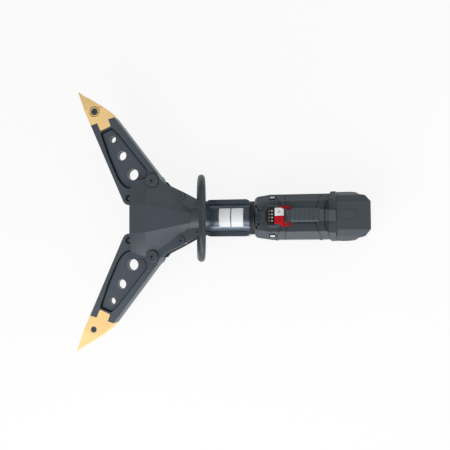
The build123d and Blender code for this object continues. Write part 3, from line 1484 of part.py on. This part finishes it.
def make_latch(side):
    """Push latch in the battery's side."""
    with BuildPart() as latch:
        with BuildSketch(Plane.XZ.offset(-side * (BATTERY_HALF - LATCH_T))):
            with Locations((at(LATCH_AT), -2)):
                RectangleRounded(LATCH_L, LATCH_H, 3.7)
        extrude(amount=-side * LATCH_T)
        with BuildSketch(Plane.XZ.offset(-side * BATTERY_HALF)):
            with Locations((at(LATCH_AT), -2)):
                with GridLocations(4, 1, 4, 1):
                    Rectangle(1.6, LATCH_H - 5)
        extrude(amount=side * 1, mode=Mode.SUBTRACT)
    return latch


for side, word in ((1, "right"), (-1, "left")):
    save(make_arm(side), f"{word}_arm")
    save(make_tip(side), f"{word}_tip")
    save(make_tip_pin(side), f"{word}_tip_lock_pin")
    save(make_bush(side), f"{word}_pivot_bush")
    save(make_link_pin(side), f"{word}_link_pin")
    save(make_link(side), f"{word}_link")
    save(make_cross_pin(side), f"{word}_cross_pin")
save(make_crosshead(), "crosshead")
save(make_piston_rod(), "piston_rod")
save(make_piston(), "piston")
save(make_piston_seal(), "piston_seal")
save(make_gland(), "rod_gland")
save(make_rod_seal(), "rod_seal")
save(make_cover(1), "upper_cover")
save(make_cover(-1), "lower_cover")
save(make_pivot_bolts(), "pivot_bolts")
save(make_pivot_nuts(), "pivot_nuts")
save(make_spacers(), "cover_spacers")
save(make_mid_bolts(), "cover_bolts")
save(make_cover_screws(), "cover_screws")
save(make_block(), "cylinder_block")
save(make_lock_ring(), "lock_ring")
save(make_carry_ring(), "carry_ring")
save(make_ring_screws(), "ring_screws")
save(make_neck(), "neck_collar")
save(make_nose(), "nose_cover")
save(make_shell(1), "right_shell")
save(make_shell(-1), "left_shell")
save(make_grip(), "grip_cover")
save(make_collar(), "rear_collar")
save(make_panel(), "indicator_panel")
save(make_lights(), "indicator_lights")
save(make_button(1), "light_button")
save(make_button(-1), "power_button")
save(make_lever(), "control_lever")
save(make_control_shaft(), "control_shaft")
save(make_lever_spring(), "lever_spring")
save(make_board(), "circuit_board")
save(make_lamps(), "lamp_windows")
save(make_valve(), "control_valve")
save(make_motor_case(), "motor_case")
save(round_bar(MOTOR_START + 20, MOTOR_END - 20, MOTOR_R - 3 - SEAT, 22.5), "motor_stator")
save(make_rotor(), "motor_rotor")
save(make_bearings(), "motor_bearings")
save(make_pump(), "pump_body")
save(make_plungers(), "pump_plungers")
save(make_reservoir(), "oil_reservoir")
save(make_body_screws(), "housing_screws")
save(make_battery_case(), "battery_case")
save(make_battery_front(), "battery_front")
save(make_cells(), "battery_cells")
save(make_latch(1), "right_battery_latch")
save(make_latch(-1), "left_battery_latch")
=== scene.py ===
import json
import math

import bmesh
import bpy
from mathutils import Euler, Matrix, Vector


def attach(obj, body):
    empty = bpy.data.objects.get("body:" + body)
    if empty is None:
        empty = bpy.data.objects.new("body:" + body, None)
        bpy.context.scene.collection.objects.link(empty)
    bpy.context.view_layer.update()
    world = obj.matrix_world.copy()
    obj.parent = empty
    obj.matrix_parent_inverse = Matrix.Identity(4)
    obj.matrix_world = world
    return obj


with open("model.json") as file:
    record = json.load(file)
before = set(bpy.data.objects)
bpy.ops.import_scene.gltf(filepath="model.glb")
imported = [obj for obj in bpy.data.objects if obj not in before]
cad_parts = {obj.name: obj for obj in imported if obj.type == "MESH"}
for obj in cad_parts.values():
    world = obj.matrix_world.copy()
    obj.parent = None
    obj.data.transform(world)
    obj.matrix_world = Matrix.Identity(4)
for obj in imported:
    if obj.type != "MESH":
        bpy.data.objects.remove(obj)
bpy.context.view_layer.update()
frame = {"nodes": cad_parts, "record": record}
scene = bpy.context.scene
MM = 0.001
PIVOT_X = -0.19598


def at(station):
    """X in metres of a station in mm measured from the pivot line."""
    return PIVOT_X + station * MM


def rgb(r, g, b):
    """Linear colour of an 8-bit screen colour."""
    def lin(c):
        c /= 255
        return c / 12.92 if c <= 0.04045 else ((c + 0.055) / 1.055) ** 2.4
    return (lin(r), lin(g), lin(b), 1.0)


# Materials
def new_material(name):
    m = bpy.data.materials.new(name)
    m.use_nodes = True
    tree = m.node_tree
    bsdf = tree.nodes["Principled BSDF"]
    return m, tree, bsdf


def noise(tree, coord, scale, detail=3.0, rough=0.55):
    n = tree.nodes.new("ShaderNodeTexNoise")
    n.inputs["Scale"].default_value = scale
    n.inputs["Detail"].default_value = detail
    n.inputs["Roughness"].default_value = rough
    tree.links.new(coord, n.inputs["Vector"])
    return n.outputs["Fac"]


def ramp(tree, value, stops):
    r = tree.nodes.new("ShaderNodeValToRGB")
    r.color_ramp.elements[0].position = stops[0][0]
    r.color_ramp.elements[0].color = stops[0][1]
    r.color_ramp.elements[1].position = stops[-1][0]
    r.color_ramp.elements[1].color = stops[-1][1]
    for position, colour in stops[1:-1]:
        e = r.color_ramp.elements.new(position)
        e.color = colour
    tree.links.new(value, r.inputs["Fac"])
    return r.outputs["Color"]


def maths(tree, operation, a, b):
    n = tree.nodes.new("ShaderNodeMath")
    n.operation = operation
    for socket, value in zip(n.inputs, (a, b)):
        if isinstance(value, (int, float)):
            socket.default_value = value
        else:
            tree.links.new(value, socket)
    return n.outputs[0]


def mix(tree, factor, a, b):
    n = tree.nodes.new("ShaderNodeMix")
    n.data_type = "RGBA"
    if isinstance(factor, (int, float)):
        n.inputs[0].default_value = factor
    else:
        tree.links.new(factor, n.inputs[0])
    for socket, value in ((n.inputs[6], a), (n.inputs[7], b)):
        if isinstance(value, tuple):
            socket.default_value = value
        else:
            tree.links.new(value, socket)
    return n.outputs[2]


def grey(v):
    return (v, v, v, 1.0)


def shade(colour, factor):
    return tuple(min(1.0, c * factor) for c in colour[:3]) + (1.0,)


def multiply(tree, colour, factor):
    n = tree.nodes.new("ShaderNodeMix")
    n.data_type = "RGBA"
    n.blend_type = "MULTIPLY"
    n.inputs[0].default_value = 1.0
    tree.links.new(colour, n.inputs[6])
    tree.links.new(factor, n.inputs[7])
    return n.outputs[2]


def rounded_edges(tree, radius):
    """Normal that rounds the edges, and how far a point is on an edge."""
    soft = tree.nodes.new("ShaderNodeBevel")
    soft.samples = 4
    soft.inputs["Radius"].default_value = radius
    geometry = tree.nodes.new("ShaderNodeNewGeometry")
    dot = tree.nodes.new("ShaderNodeVectorMath")
    dot.operation = "DOT_PRODUCT"
    tree.links.new(soft.outputs["Normal"], dot.inputs[0])
    tree.links.new(geometry.outputs["Normal"], dot.inputs[1])
    return soft.outputs["Normal"], maths(tree, "SUBTRACT", 1.0, dot.outputs["Value"])


def surface(name, colour, roughness, metallic=0.0, vary=0.08, patch=14.0, grain=900.0, bump=0.00003,
            rough_vary=0.08, stretch=(1, 1, 1), coat=0.0, scuffs=0.0, specular=0.5,
            edge=0.0006, wear=0.35, crevice=0.0, worn=1.7, tint=None):
    """Procedural finish: slow colour variation, fine grain in colour, gloss and bump, light scuffs,
    lighter worn edges and painted shade in crevices. tint(tree, coord, colour) paints parts of it another
    colour."""
    m, tree, bsdf = new_material(name)
    coord = tree.nodes.new("ShaderNodeTexCoord").outputs["Object"]
    fine_coord = coord
    if stretch != (1, 1, 1):
        mapping = tree.nodes.new("ShaderNodeMapping")
        mapping.inputs["Scale"].default_value = stretch
        tree.links.new(coord, mapping.inputs["Vector"])
        fine_coord = mapping.outputs["Vector"]
    slow = noise(tree, coord, patch, 4.0)
    fine = noise(tree, fine_coord, grain, 2.0)
    base = ramp(tree, slow, [(0.3, shade(colour, 1 - vary)), (0.7, shade(colour, 1 + vary))])
    if tint:
        base = tint(tree, coord, base)
    fine_tint = ramp(tree, fine, [(0.35, grey(1 - vary * 0.6)), (0.65, grey(1.0))])
    out = multiply(tree, base, fine_tint)
    rough = maths(tree, "MULTIPLY_ADD", fine, rough_vary)
    rough.node.inputs[2].default_value = roughness - rough_vary / 2
    if scuffs:
        stretched = tree.nodes.new("ShaderNodeMapping")
        stretched.inputs["Rotation"].default_value = (0.3, 0.2, 0.7)
        stretched.inputs["Scale"].default_value = (30, 420, 160)
        tree.links.new(coord, stretched.inputs["Vector"])
        streak = noise(tree, stretched.outputs["Vector"], 1.0, 3.0)
        where = noise(tree, coord, 26.0, 2.0)
        mask = maths(tree, "MULTIPLY", ramp(tree, streak, [(0.60, grey(0)), (0.72, grey(1))]),
                     ramp(tree, where, [(0.5, grey(0)), (0.66, grey(scuffs))]))
        out = mix(tree, mask, out, shade(colour, worn))
        rough = maths(tree, "SUBTRACT", rough, maths(tree, "MULTIPLY", mask, 0.12))
    normal = None
    if edge:
        normal, on_edge = rounded_edges(tree, edge)
        chipped = ramp(tree, noise(tree, coord, 160.0, 3.0), [(0.38, grey(0.25)), (0.62, grey(1.0))])
        amount = maths(tree, "MULTIPLY", ramp(tree, on_edge, [(0.02, grey(0)), (0.25, grey(wear))]), chipped)
        out = mix(tree, amount, out, shade(colour, worn))
    if crevice:
        # painted shade: ambient occlusion darkens the base colour in crevices and recesses, where shade falls
        shadow = tree.nodes.new("ShaderNodeAmbientOcclusion")
        shadow.samples = 8
        shadow.inputs["Distance"].default_value = 0.007
        crevice_shade = ramp(tree, shadow.outputs["AO"], [(0.15, grey(1 - crevice)), (0.65, grey(1.0))])
        out = multiply(tree, out, crevice_shade)
    tree.links.new(out, bsdf.inputs["Base Color"])
    tree.links.new(rough, bsdf.inputs["Roughness"])
    bsdf.inputs["Metallic"].default_value = metallic
    bsdf.inputs["Coat Weight"].default_value = coat
    bsdf.inputs["Coat Roughness"].default_value = 0.12
    bsdf.inputs["Specular IOR Level"].default_value = specular
    if bump:
        b = tree.nodes.new("ShaderNodeBump")
        b.inputs["Strength"].default_value = 1.0
        b.inputs["Distance"].default_value = bump
        tree.links.new(fine, b.inputs["Height"])
        if normal:
            tree.links.new(normal, b.inputs["Normal"])
        tree.links.new(b.outputs["Normal"], bsdf.inputs["Normal"])
    elif normal:
        tree.links.new(normal, bsdf.inputs["Normal"])
    return m


def axis_value(tree, coord, axis):
    n = tree.nodes.new("ShaderNodeSeparateXYZ")
    tree.links.new(coord, n.inputs[0])
    return n.outputs[axis]


def absolute(tree, value):
    return maths(tree, "ABSOLUTE", value, 0.0)


def length(tree, x, y):
    square = maths(tree, "ADD", maths(tree, "MULTIPLY", x, x), maths(tree, "MULTIPLY", y, y))
    return maths(tree, "SQRT", square, 0.0)


TIP_PIN = (-0.386495, 0.337484)
PIN_R = 0.0108
RING_R = 0.0155
LIGHT_MID = 364.5


def pin_and_ring(tree, coord, base):
    """Dark pin end inside a golden ring and tab, with a painted shade line along the groove round the ring."""
    x = maths(tree, "SUBTRACT", axis_value(tree, coord, 0), TIP_PIN[0])
    y = maths(tree, "SUBTRACT", absolute(tree, axis_value(tree, coord, 1)), TIP_PIN[1])
    away = length(tree, x, y)
    ring = mix(tree, maths(tree, "GREATER_THAN", away, PIN_R), base, rgb(252, 214, 148))
    # painted shade: a thin dark line along the ring's groove
    groove_shade_line = maths(tree, "LESS_THAN", absolute(tree, maths(tree, "SUBTRACT", away, RING_R)), 0.0009)
    return mix(tree, groove_shade_line, ring, rgb(70, 62, 48))


def two_columns(tree, coord, base):
    """Front column of the lights dim and yellowish, each with a dark rim."""
    x = axis_value(tree, coord, 0)
    front = maths(tree, "LESS_THAN", x, at(LIGHT_MID))
    base = mix(tree, front, base, rgb(150, 148, 112))
    dx = maths(tree, "SUBTRACT", absolute(tree, maths(tree, "SUBTRACT", x, at(LIGHT_MID))), 0.004)
    outer = maths(tree, "SUBTRACT", absolute(tree, axis_value(tree, coord, 1)), 0.0094)
    dy = maths(tree, "SUBTRACT", absolute(tree, outer), 0.0047)
    rim = maths(tree, "GREATER_THAN", length(tree, dx, dy), 0.0017)
    return mix(tree, rim, base, rgb(24, 26, 28))


# Panel lines of the rear unit: ends in mm from the pivot line and from the tool's axis
SEAMS = [
    ((374.0, 64.0), (390.0, 34.0)),
    ((400.5, 64.0), (407.0, 34.0)),
    ((506.0, 64.0), (488.5, 18.5)),
    ((516.0, 0.0), (516.0, 26.0)),
    ((516.0, 26.0), (528.0, 54.0)),
    ((528.0, 54.0), (534.0, 78.0)),
]


def dark_seams(tree, coord, base):
    """Dark line in each panel gap, by the distance from the line in plan."""
    x = axis_value(tree, coord, 0)
    y = absolute(tree, axis_value(tree, coord, 1))
    nearest = None
    for (x0, y0), (x1, y1) in SEAMS:
        ax, ay, bx, by = at(x0), y0 * MM, at(x1), y1 * MM
        run = math.hypot(bx - ax, by - ay)
        ux, uy = (bx - ax) / run, (by - ay) / run
        px, py = maths(tree, "SUBTRACT", x, ax), maths(tree, "SUBTRACT", y, ay)
        along = maths(tree, "ADD", maths(tree, "MULTIPLY", px, ux), maths(tree, "MULTIPLY", py, uy))
        clamped = maths(tree, "MINIMUM", maths(tree, "MAXIMUM", along, 0.0), run)
        away = length(tree, maths(tree, "SUBTRACT", px, maths(tree, "MULTIPLY", clamped, ux)),
                      maths(tree, "SUBTRACT", py, maths(tree, "MULTIPLY", clamped, uy)))
        nearest = away if nearest is None else maths(tree, "MINIMUM", nearest, away)
    upper = maths(tree, "GREATER_THAN", axis_value(tree, coord, 2), -0.02)
    line = ramp(tree, maths(tree, "MULTIPLY", nearest, 100.0), [(0.09, grey(0.85)), (0.16, grey(0))])
    return mix(tree, maths(tree, "MULTIPLY", line, upper), base, rgb(14, 16, 18))


MATERIALS = {
    "arm_metal": surface("arm_metal", rgb(74, 82, 91), 0.42, 0.15, 0.05, 10, 1100, 0.00002, scuffs=0.25,
                         wear=0.5, crevice=0.85),
    "tip_gold": surface("tip_gold", rgb(252, 214, 148), 0.5, 0.0, 0.03, 22, 1200, 0.00002, scuffs=0.15,
                        wear=0.25, crevice=0.85, worn=1.1, specular=0.3),
    "cover_grey": surface("cover_grey", rgb(66, 75, 83), 0.42, 0.12, 0.05, 8, 1300, 0.00003, scuffs=0.2,
                          edge=0.0008, crevice=0.5),
    "block_grey": surface("block_grey", rgb(84, 93, 104), 0.27, 0.8, 0.05, 12, 900, 0.00001,
                          stretch=(1, 0.05, 1), crevice=0.6),
    "ring_grey": surface("ring_grey", rgb(50, 60, 66), 0.42, 0.1, 0.06, 14, 1400, 0.00004, scuffs=0.2,
                         crevice=0.4),
    "steel": surface("steel", rgb(150, 154, 158), 0.30, 1.0, 0.05, 30, 700, 0.00001, stretch=(1, 1, 0.1)),
    "black_steel": surface("black_steel", rgb(62, 70, 78), 0.38, 0.4, 0.06, 40, 1500, 0.00002, scuffs=0.2,
                           crevice=0.75),
    "bronze": surface("bronze", rgb(170, 128, 72), 0.35, 1.0, 0.06, 30, 900, 0.00001),
    "chrome": surface("chrome", rgb(200, 203, 206), 0.14, 1.0, 0.02, 20, 800, 0.0, wear=0.0),
    "housing": surface("housing", rgb(60, 69, 76), 0.40, 0.0, 0.05, 9, 1600, 0.00006, rough_vary=0.1,
                       scuffs=0.18, edge=0.0009, crevice=0.75, tint=dark_seams),
    "housing_dark": surface("housing_dark", rgb(14, 16, 18), 0.5, 0.0, 0.08, 20, 1600, 0.00004, wear=0.1),
    "grip": surface("grip", rgb(60, 70, 78), 0.55, 0.0, 0.06, 18, 1300, 0.0001, rough_vary=0.12,
                    edge=0.0009, crevice=0.5),
    "panel": surface("panel", rgb(14, 16, 18), 0.22, 0.0, 0.1, 30, 900, 0.0, wear=0.15),
    "light": surface("light", rgb(236, 236, 230), 0.25, 0.0, 0.02, 60, 700, 0.0, edge=0.0, tint=two_columns),
    "white": surface("white", rgb(226, 226, 227), 0.4, 0.0, 0.02, 60, 1300, 0.00002, wear=0.1, worn=1.1),
    "red": surface("red", rgb(190, 4, 17), 0.45, 0.0, 0.05, 60, 1300, 0.00002, wear=0.15, specular=0.2),
    "seal": surface("seal", rgb(14, 14, 15), 0.6, 0.0, 0.08, 40, 1200, 0.00002, wear=0.1),
    "board": surface("board", rgb(18, 74, 44), 0.4, 0.0, 0.08, 60, 1200, 0.00002, wear=0.1),
    "motor": surface("motor", rgb(52, 54, 58), 0.4, 0.7, 0.06, 30, 900, 0.00001),
    "copper": surface("copper", rgb(166, 92, 54), 0.35, 1.0, 0.06, 60, 900, 0.00003, wear=0.1),
    "oil_bag": surface("oil_bag", rgb(28, 28, 30), 0.55, 0.0, 0.08, 20, 900, 0.00004, wear=0.1),
    "cell": surface("cell", rgb(40, 96, 66), 0.35, 0.0, 0.06, 40, 900, 0.0, wear=0.1),
}


def lamp_glass():
    m, tree, bsdf = new_material("lamp")
    coord = tree.nodes.new("ShaderNodeTexCoord").outputs["Object"]
    wave = noise(tree, coord, 500.0, 2.0)
    clear = ramp(tree, wave, [(0.3, rgb(232, 235, 238)), (0.7, rgb(248, 249, 250))])
    tree.links.new(clear, bsdf.inputs["Base Color"])
    bsdf.inputs["Roughness"].default_value = 0.12
    bsdf.inputs["Transmission Weight"].default_value = 0.35
    bsdf.inputs["IOR"].default_value = 1.49
    return m


MATERIALS["lamp"] = lamp_glass()

lock_pin_finish = surface("lock_pin", rgb(69, 75, 82), 0.36, 0.35, 0.05, 30, 1300, 0.00002, wear=0.3,
                          crevice=0.5, tint=pin_and_ring)
# Link pin ends: the near-black colour is painted shade, standing for the shade under the cover
link_pin_shaded = surface("link_pin", rgb(20, 23, 26), 0.34, 0.5, 0.06, 40, 1500, 0.00002, wear=0.3, worn=2.5)
BY_NODE = {
    "right_tip_lock_pin": lock_pin_finish,
    "left_tip_lock_pin": lock_pin_finish,
    "right_link_pin": link_pin_shaded,
    "left_link_pin": link_pin_shaded,
    "pivot_bolts": MATERIALS["cover_grey"],
    "cover_bolts": MATERIALS["cover_grey"],
    "cover_screws": MATERIALS["cover_grey"],
}
slots = {s["node"]: s["material_slot"] for s in frame["record"]["subparts"]}
for node, obj in frame["nodes"].items():
    finish = BY_NODE.get(node, MATERIALS[slots[node]])
    if obj.material_slots:
        for s in obj.material_slots:
            s.link = "OBJECT"
            s.material = finish
    else:
        obj.data.materials.append(finish)


# Pieces made here
def mesh_piece(name, bm, material, body, smooth=True, angle=35):
    bmesh.ops.recalc_face_normals(bm, faces=bm.faces)
    data = bpy.data.meshes.new(name)
    bm.to_mesh(data)
    bm.free()
    obj = bpy.data.objects.new(name, data)
    scene.collection.objects.link(obj)
    data.materials.append(material)
    if smooth:
        for p in data.polygons:
            p.use_smooth = True
        data.set_sharp_from_angle(angle=math.radians(angle))
    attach(obj, body)
    return obj


def curved_plate(name, x0, x1, half_y, radius, lift, corner, material):
    """Thin plate that follows the cylinder block's round top, with rounded corners and a soft rim."""
    bm = bmesh.new()
    columns, rows = 28, 22
    top, low = [], []
    mid = (x0 + x1) / 2
    half_x = (x1 - x0) / 2
    for i in range(rows + 1):
        u = -1 + 2 * i / rows
        line_top, line_low = [], []
        for j in range(columns + 1):
            v = -1 + 2 * j / columns
            px, py = u * half_x, v * half_y
            cx, cy = half_x - corner, half_y - corner
            dx, dy = max(abs(px) - cx, 0.0), max(abs(py) - cy, 0.0)
            if dx > 0 and dy > 0:
                d = math.hypot(dx, dy)
                k = max(dx, dy) / d
                px = math.copysign(cx + dx * k, px)
                py = math.copysign(cy + dy * k, py)
            angle = py / radius
            rim = min(1.0, (1 - max(abs(u), abs(v))) * 12)
            r = radius + lift * (0.55 + 0.45 * math.sin(rim * math.pi / 2))
            seat = radius + 0.00002
            line_top.append(bm.verts.new((mid + px, r * math.sin(angle), r * math.cos(angle))))
            line_low.append(bm.verts.new((mid + px, seat * math.sin(angle), seat * math.cos(angle))))
        top.append(line_top)
        low.append(line_low)
    for i in range(rows):
        for j in range(columns):
            bm.faces.new((top[i][j], top[i + 1][j], top[i + 1][j + 1], top[i][j + 1]))
            bm.faces.new((low[i][j], low[i][j + 1], low[i + 1][j + 1], low[i + 1][j]))
    for i in range(rows):
        for j in (0, columns):
            bm.faces.new((top[i][j], top[i + 1][j], low[i + 1][j], low[i][j]))
    for j in range(columns):
        for i in (0, rows):
            bm.faces.new((top[i][j], top[i][j + 1], low[i][j + 1], low[i][j]))
    return mesh_piece(name, bm, material, "frame")


plate_white = surface("plate_white", rgb(232, 233, 235), 0.35, 0.0, 0.02, 40, 900, 0.00002)
curved_plate("label_front", at(206.7), at(240.4), 0.029, 0.045, 0.0005, 0.0015, plate_white)
curved_plate("label_rear", at(243.4), at(278.9), 0.029, 0.045, 0.0005, 0.0015, plate_white)


def raised_line(name, points, width, height, base_z, material, body, closed=False):
    """Flat raised line of a symbol: a strip along points, with a narrower crown."""
    bm = bmesh.new()
    rows = []
    count = len(points)
    for i, (x, y) in enumerate(points):
        before = points[i - 1] if i or closed else points[i]
        after = points[(i + 1) % count] if i < count - 1 or closed else points[i]
        along = Vector((after[0] - before[0], after[1] - before[1])).normalized()
        across = Vector((-along.y, along.x)) * width / 2
        row = []
        for share, z in ((-1, 0), (-0.75, height), (0, height * 1.15), (0.75, height), (1, 0)):
            row.append(bm.verts.new((x + across.x * share, y + across.y * share, base_z + z)))
        rows.append(row)
    pairs = list(zip(rows, rows[1:])) + ([(rows[-1], rows[0])] if closed else [])
    for first, second in pairs:
        for j in range(4):
            bm.faces.new((first[j], first[j + 1], second[j + 1], second[j]))
        bm.faces.new((first[4], first[0], second[0], second[4]))
    if not closed:
        bm.faces.new(rows[0])
        bm.faces.new(list(reversed(rows[-1])))
    return mesh_piece(name, bm, material, body)


def arc(cx, cy, r, start, end, steps):
    turn = [math.radians(start + (end - start) * i / steps) for i in range(steps + 1)]
    return [(cx + r * math.cos(t), cy + r * math.sin(t)) for t in turn]


BUTTON_Z = 0.086 + 0.0035
symbol_red = surface("symbol_red", rgb(112, 4, 12), 0.4, 0.0, 0.03, 60, 1300, 0.0, edge=0.0)
symbol_grey = surface("symbol_grey", rgb(60, 64, 68), 0.4, 0.0, 0.03, 60, 1300, 0.0, edge=0.0)
power_at = (at(389.5), -0.0118)
raised_line("power_ring", arc(*power_at, 0.0036, 125, 415, 28), 0.0011, 0.00025, BUTTON_Z, symbol_red,
            "power_button")
raised_line("power_bar", [(power_at[0], power_at[1] + 0.0012 + 0.0012 * k) for k in range(4)], 0.0011, 0.00025,
            BUTTON_Z, symbol_red, "power_button")
lamp_at = (at(388.5), 0.0118)
lamp_bowl = arc(lamp_at[0] - 0.0006, lamp_at[1], 0.0024, 90, 270, 14)
raised_line("lamp_symbol_bowl", lamp_bowl, 0.0008, 0.00025, BUTTON_Z, symbol_grey, "light_button",
            closed=True)
for index, rise in enumerate((-0.0018, 0.0, 0.0018)):
    ray = [(lamp_at[0] + 0.0009 + 0.0011 * k, lamp_at[1] + rise) for k in range(3)]
    raised_line(f"lamp_symbol_ray_{index + 1}", ray, 0.0007, 0.00025, BUTTON_Z, symbol_grey, "light_button")


def lamp_bezel(name, side):
    """Dark frame round the lamp window on the nose's shoulder: a rounded slot swept with a low crown."""
    centre = Vector((at(365.0), side * 0.055, 0.039))
    out = Vector((0, side, 1)).normalized()
    across = Vector((0, 1, -side)).normalized() * side
    bm = bmesh.new()
    rows = []
    steps = 40
    half_x, half_y = 0.0085, 0.0056
    power = 0.35
    crown = ((-0.0012, -0.0012), (-0.0012, 0.0004), (-0.0004, 0.0009), (0.0006, 0.0008), (0.0014, 0.0),
             (0.0014, -0.0012))
    for i in range(steps):
        t = 2 * math.pi * i / steps
        ex = math.copysign(abs(math.cos(t)) ** power, math.cos(t))
        ey = math.copysign(abs(math.sin(t)) ** power, math.sin(t))
        row = []
        for grow, lift in crown:
            place = centre + Vector((1, 0, 0)) * ex * (half_x + grow) + across * ey * (half_y + grow)
            row.append(bm.verts.new(place + out * (0.002 + lift)))
        rows.append(row)
    for first, second in zip(rows, rows[1:] + rows[:1]):
        for j in range(len(crown)):
            k = (j + 1) % len(crown)
            bm.faces.new((first[j], first[k], second[k], second[j]))
    return mesh_piece(name, bm, MATERIALS["housing_dark"], "frame")


lamp_bezel("right_lamp_bezel", 1)
lamp_bezel("left_lamp_bezel", -1)


# Camera at the photograph's viewing angle
def camera():
    k = 3.05 / 3.2
    distance = 2.0 * k
    turn = (Matrix.Rotation(math.radians(0.32), 3, "Z") @ Matrix.Rotation(math.radians(-2.43), 3, "X")
            @ Matrix.Rotation(math.radians(-10.0), 3, "Y"))
    shift = Vector((-0.114 * k, 0.0198 * k, 0.0))
    back = turn.transposed()
    place = back @ (Vector((0, 0, distance)) - shift)
    place.x += 0.107 + PIVOT_X
    cam_data = bpy.data.cameras.new("camera")
    cam_data.sensor_width = 36
    cam_data.lens = 50
    cam_data.clip_start = 0.05
    cam = bpy.data.objects.new("camera", cam_data)
    scene.collection.objects.link(cam)
    cam.matrix_world = Matrix.Translation(place) @ back.to_4x4()
    scene.camera = cam
    return cam


cam = camera()

# Floor under the ring and the battery
RING_LOW = Vector((at(143.5) - 0.026, 0, -0.1158))
BATTERY_LOW = Vector((at(643.5), 0, -0.092))
tilt = math.atan2(BATTERY_LOW.z - RING_LOW.z, BATTERY_LOW.x - RING_LOW.x)
bm = bmesh.new()
bmesh.ops.create_grid(bm, x_segments=8, y_segments=8, size=6)
data = bpy.data.meshes.new("floor")
bm.to_mesh(data)
bm.free()
floor = bpy.data.objects.new("floor", data)
scene.collection.objects.link(floor)
floor.matrix_world = Matrix.Translation(RING_LOW - Vector((0, 0, 0.0004))) @ Matrix.Rotation(-tilt, 4, "Y")
m, tree, bsdf = new_material("floor")
path = tree.nodes.new("ShaderNodeLightPath")
seen = maths(tree, "MAXIMUM", path.outputs["Is Camera Ray"], path.outputs["Is Glossy Ray"])
seen = maths(tree, "MAXIMUM", seen, path.outputs["Is Transmission Ray"])
glow = tree.nodes.new("ShaderNodeEmission")
glow.inputs["Color"].default_value = (1, 1, 1, 1)
blend = tree.nodes.new("ShaderNodeMixShader")
tree.links.new(maths(tree, "MULTIPLY", seen, 0.86), blend.inputs[0])
bsdf.inputs["Base Color"].default_value = (0.9, 0.9, 0.9, 1)
bsdf.inputs["Roughness"].default_value = 0.9
bsdf.inputs["Specular IOR Level"].default_value = 0.1
tree.links.new(bsdf.outputs[0], blend.inputs[1])
tree.links.new(glow.outputs[0], blend.inputs[2])
tree.links.new(blend.outputs[0], tree.nodes["Material Output"].inputs["Surface"])
data.materials.append(m)


# Light: soft sky and large panels
world = bpy.data.worlds.new("world")
world.use_nodes = True
world.node_tree.nodes["Background"].inputs["Color"].default_value = (1, 1, 1, 1)
world.node_tree.nodes["Background"].inputs["Strength"].default_value = 0.42
scene.world = world


def panel_light(name, place, target, size, energy):
    light = bpy.data.lights.new(name, "AREA")
    light.shape = "RECTANGLE"
    light.size, light.size_y = size
    light.energy = energy
    obj = bpy.data.objects.new(name, light)
    scene.collection.objects.link(obj)
    direction = Vector(target) - Vector(place)
    obj.matrix_world = Matrix.Translation(place) @ direction.to_track_quat("-Z", "Y").to_matrix().to_4x4()
    return obj


panel_light("key", (-0.9, -1.6, 1.7), (0, 0, 0), (1.6, 1.2), 26)
panel_light("side", (0.3, -2.3, 0.55), (0.1, 0, 0), (2.2, 0.5), 24)
panel_light("fill", (0.9, 1.5, 1.9), (0, 0, 0), (1.6, 1.6), 9)
panel_light("rear", (1.9, -0.3, 1.3), (0, 0, 0), (1.2, 1.2), 8)

scene.view_settings.view_transform = "Standard"
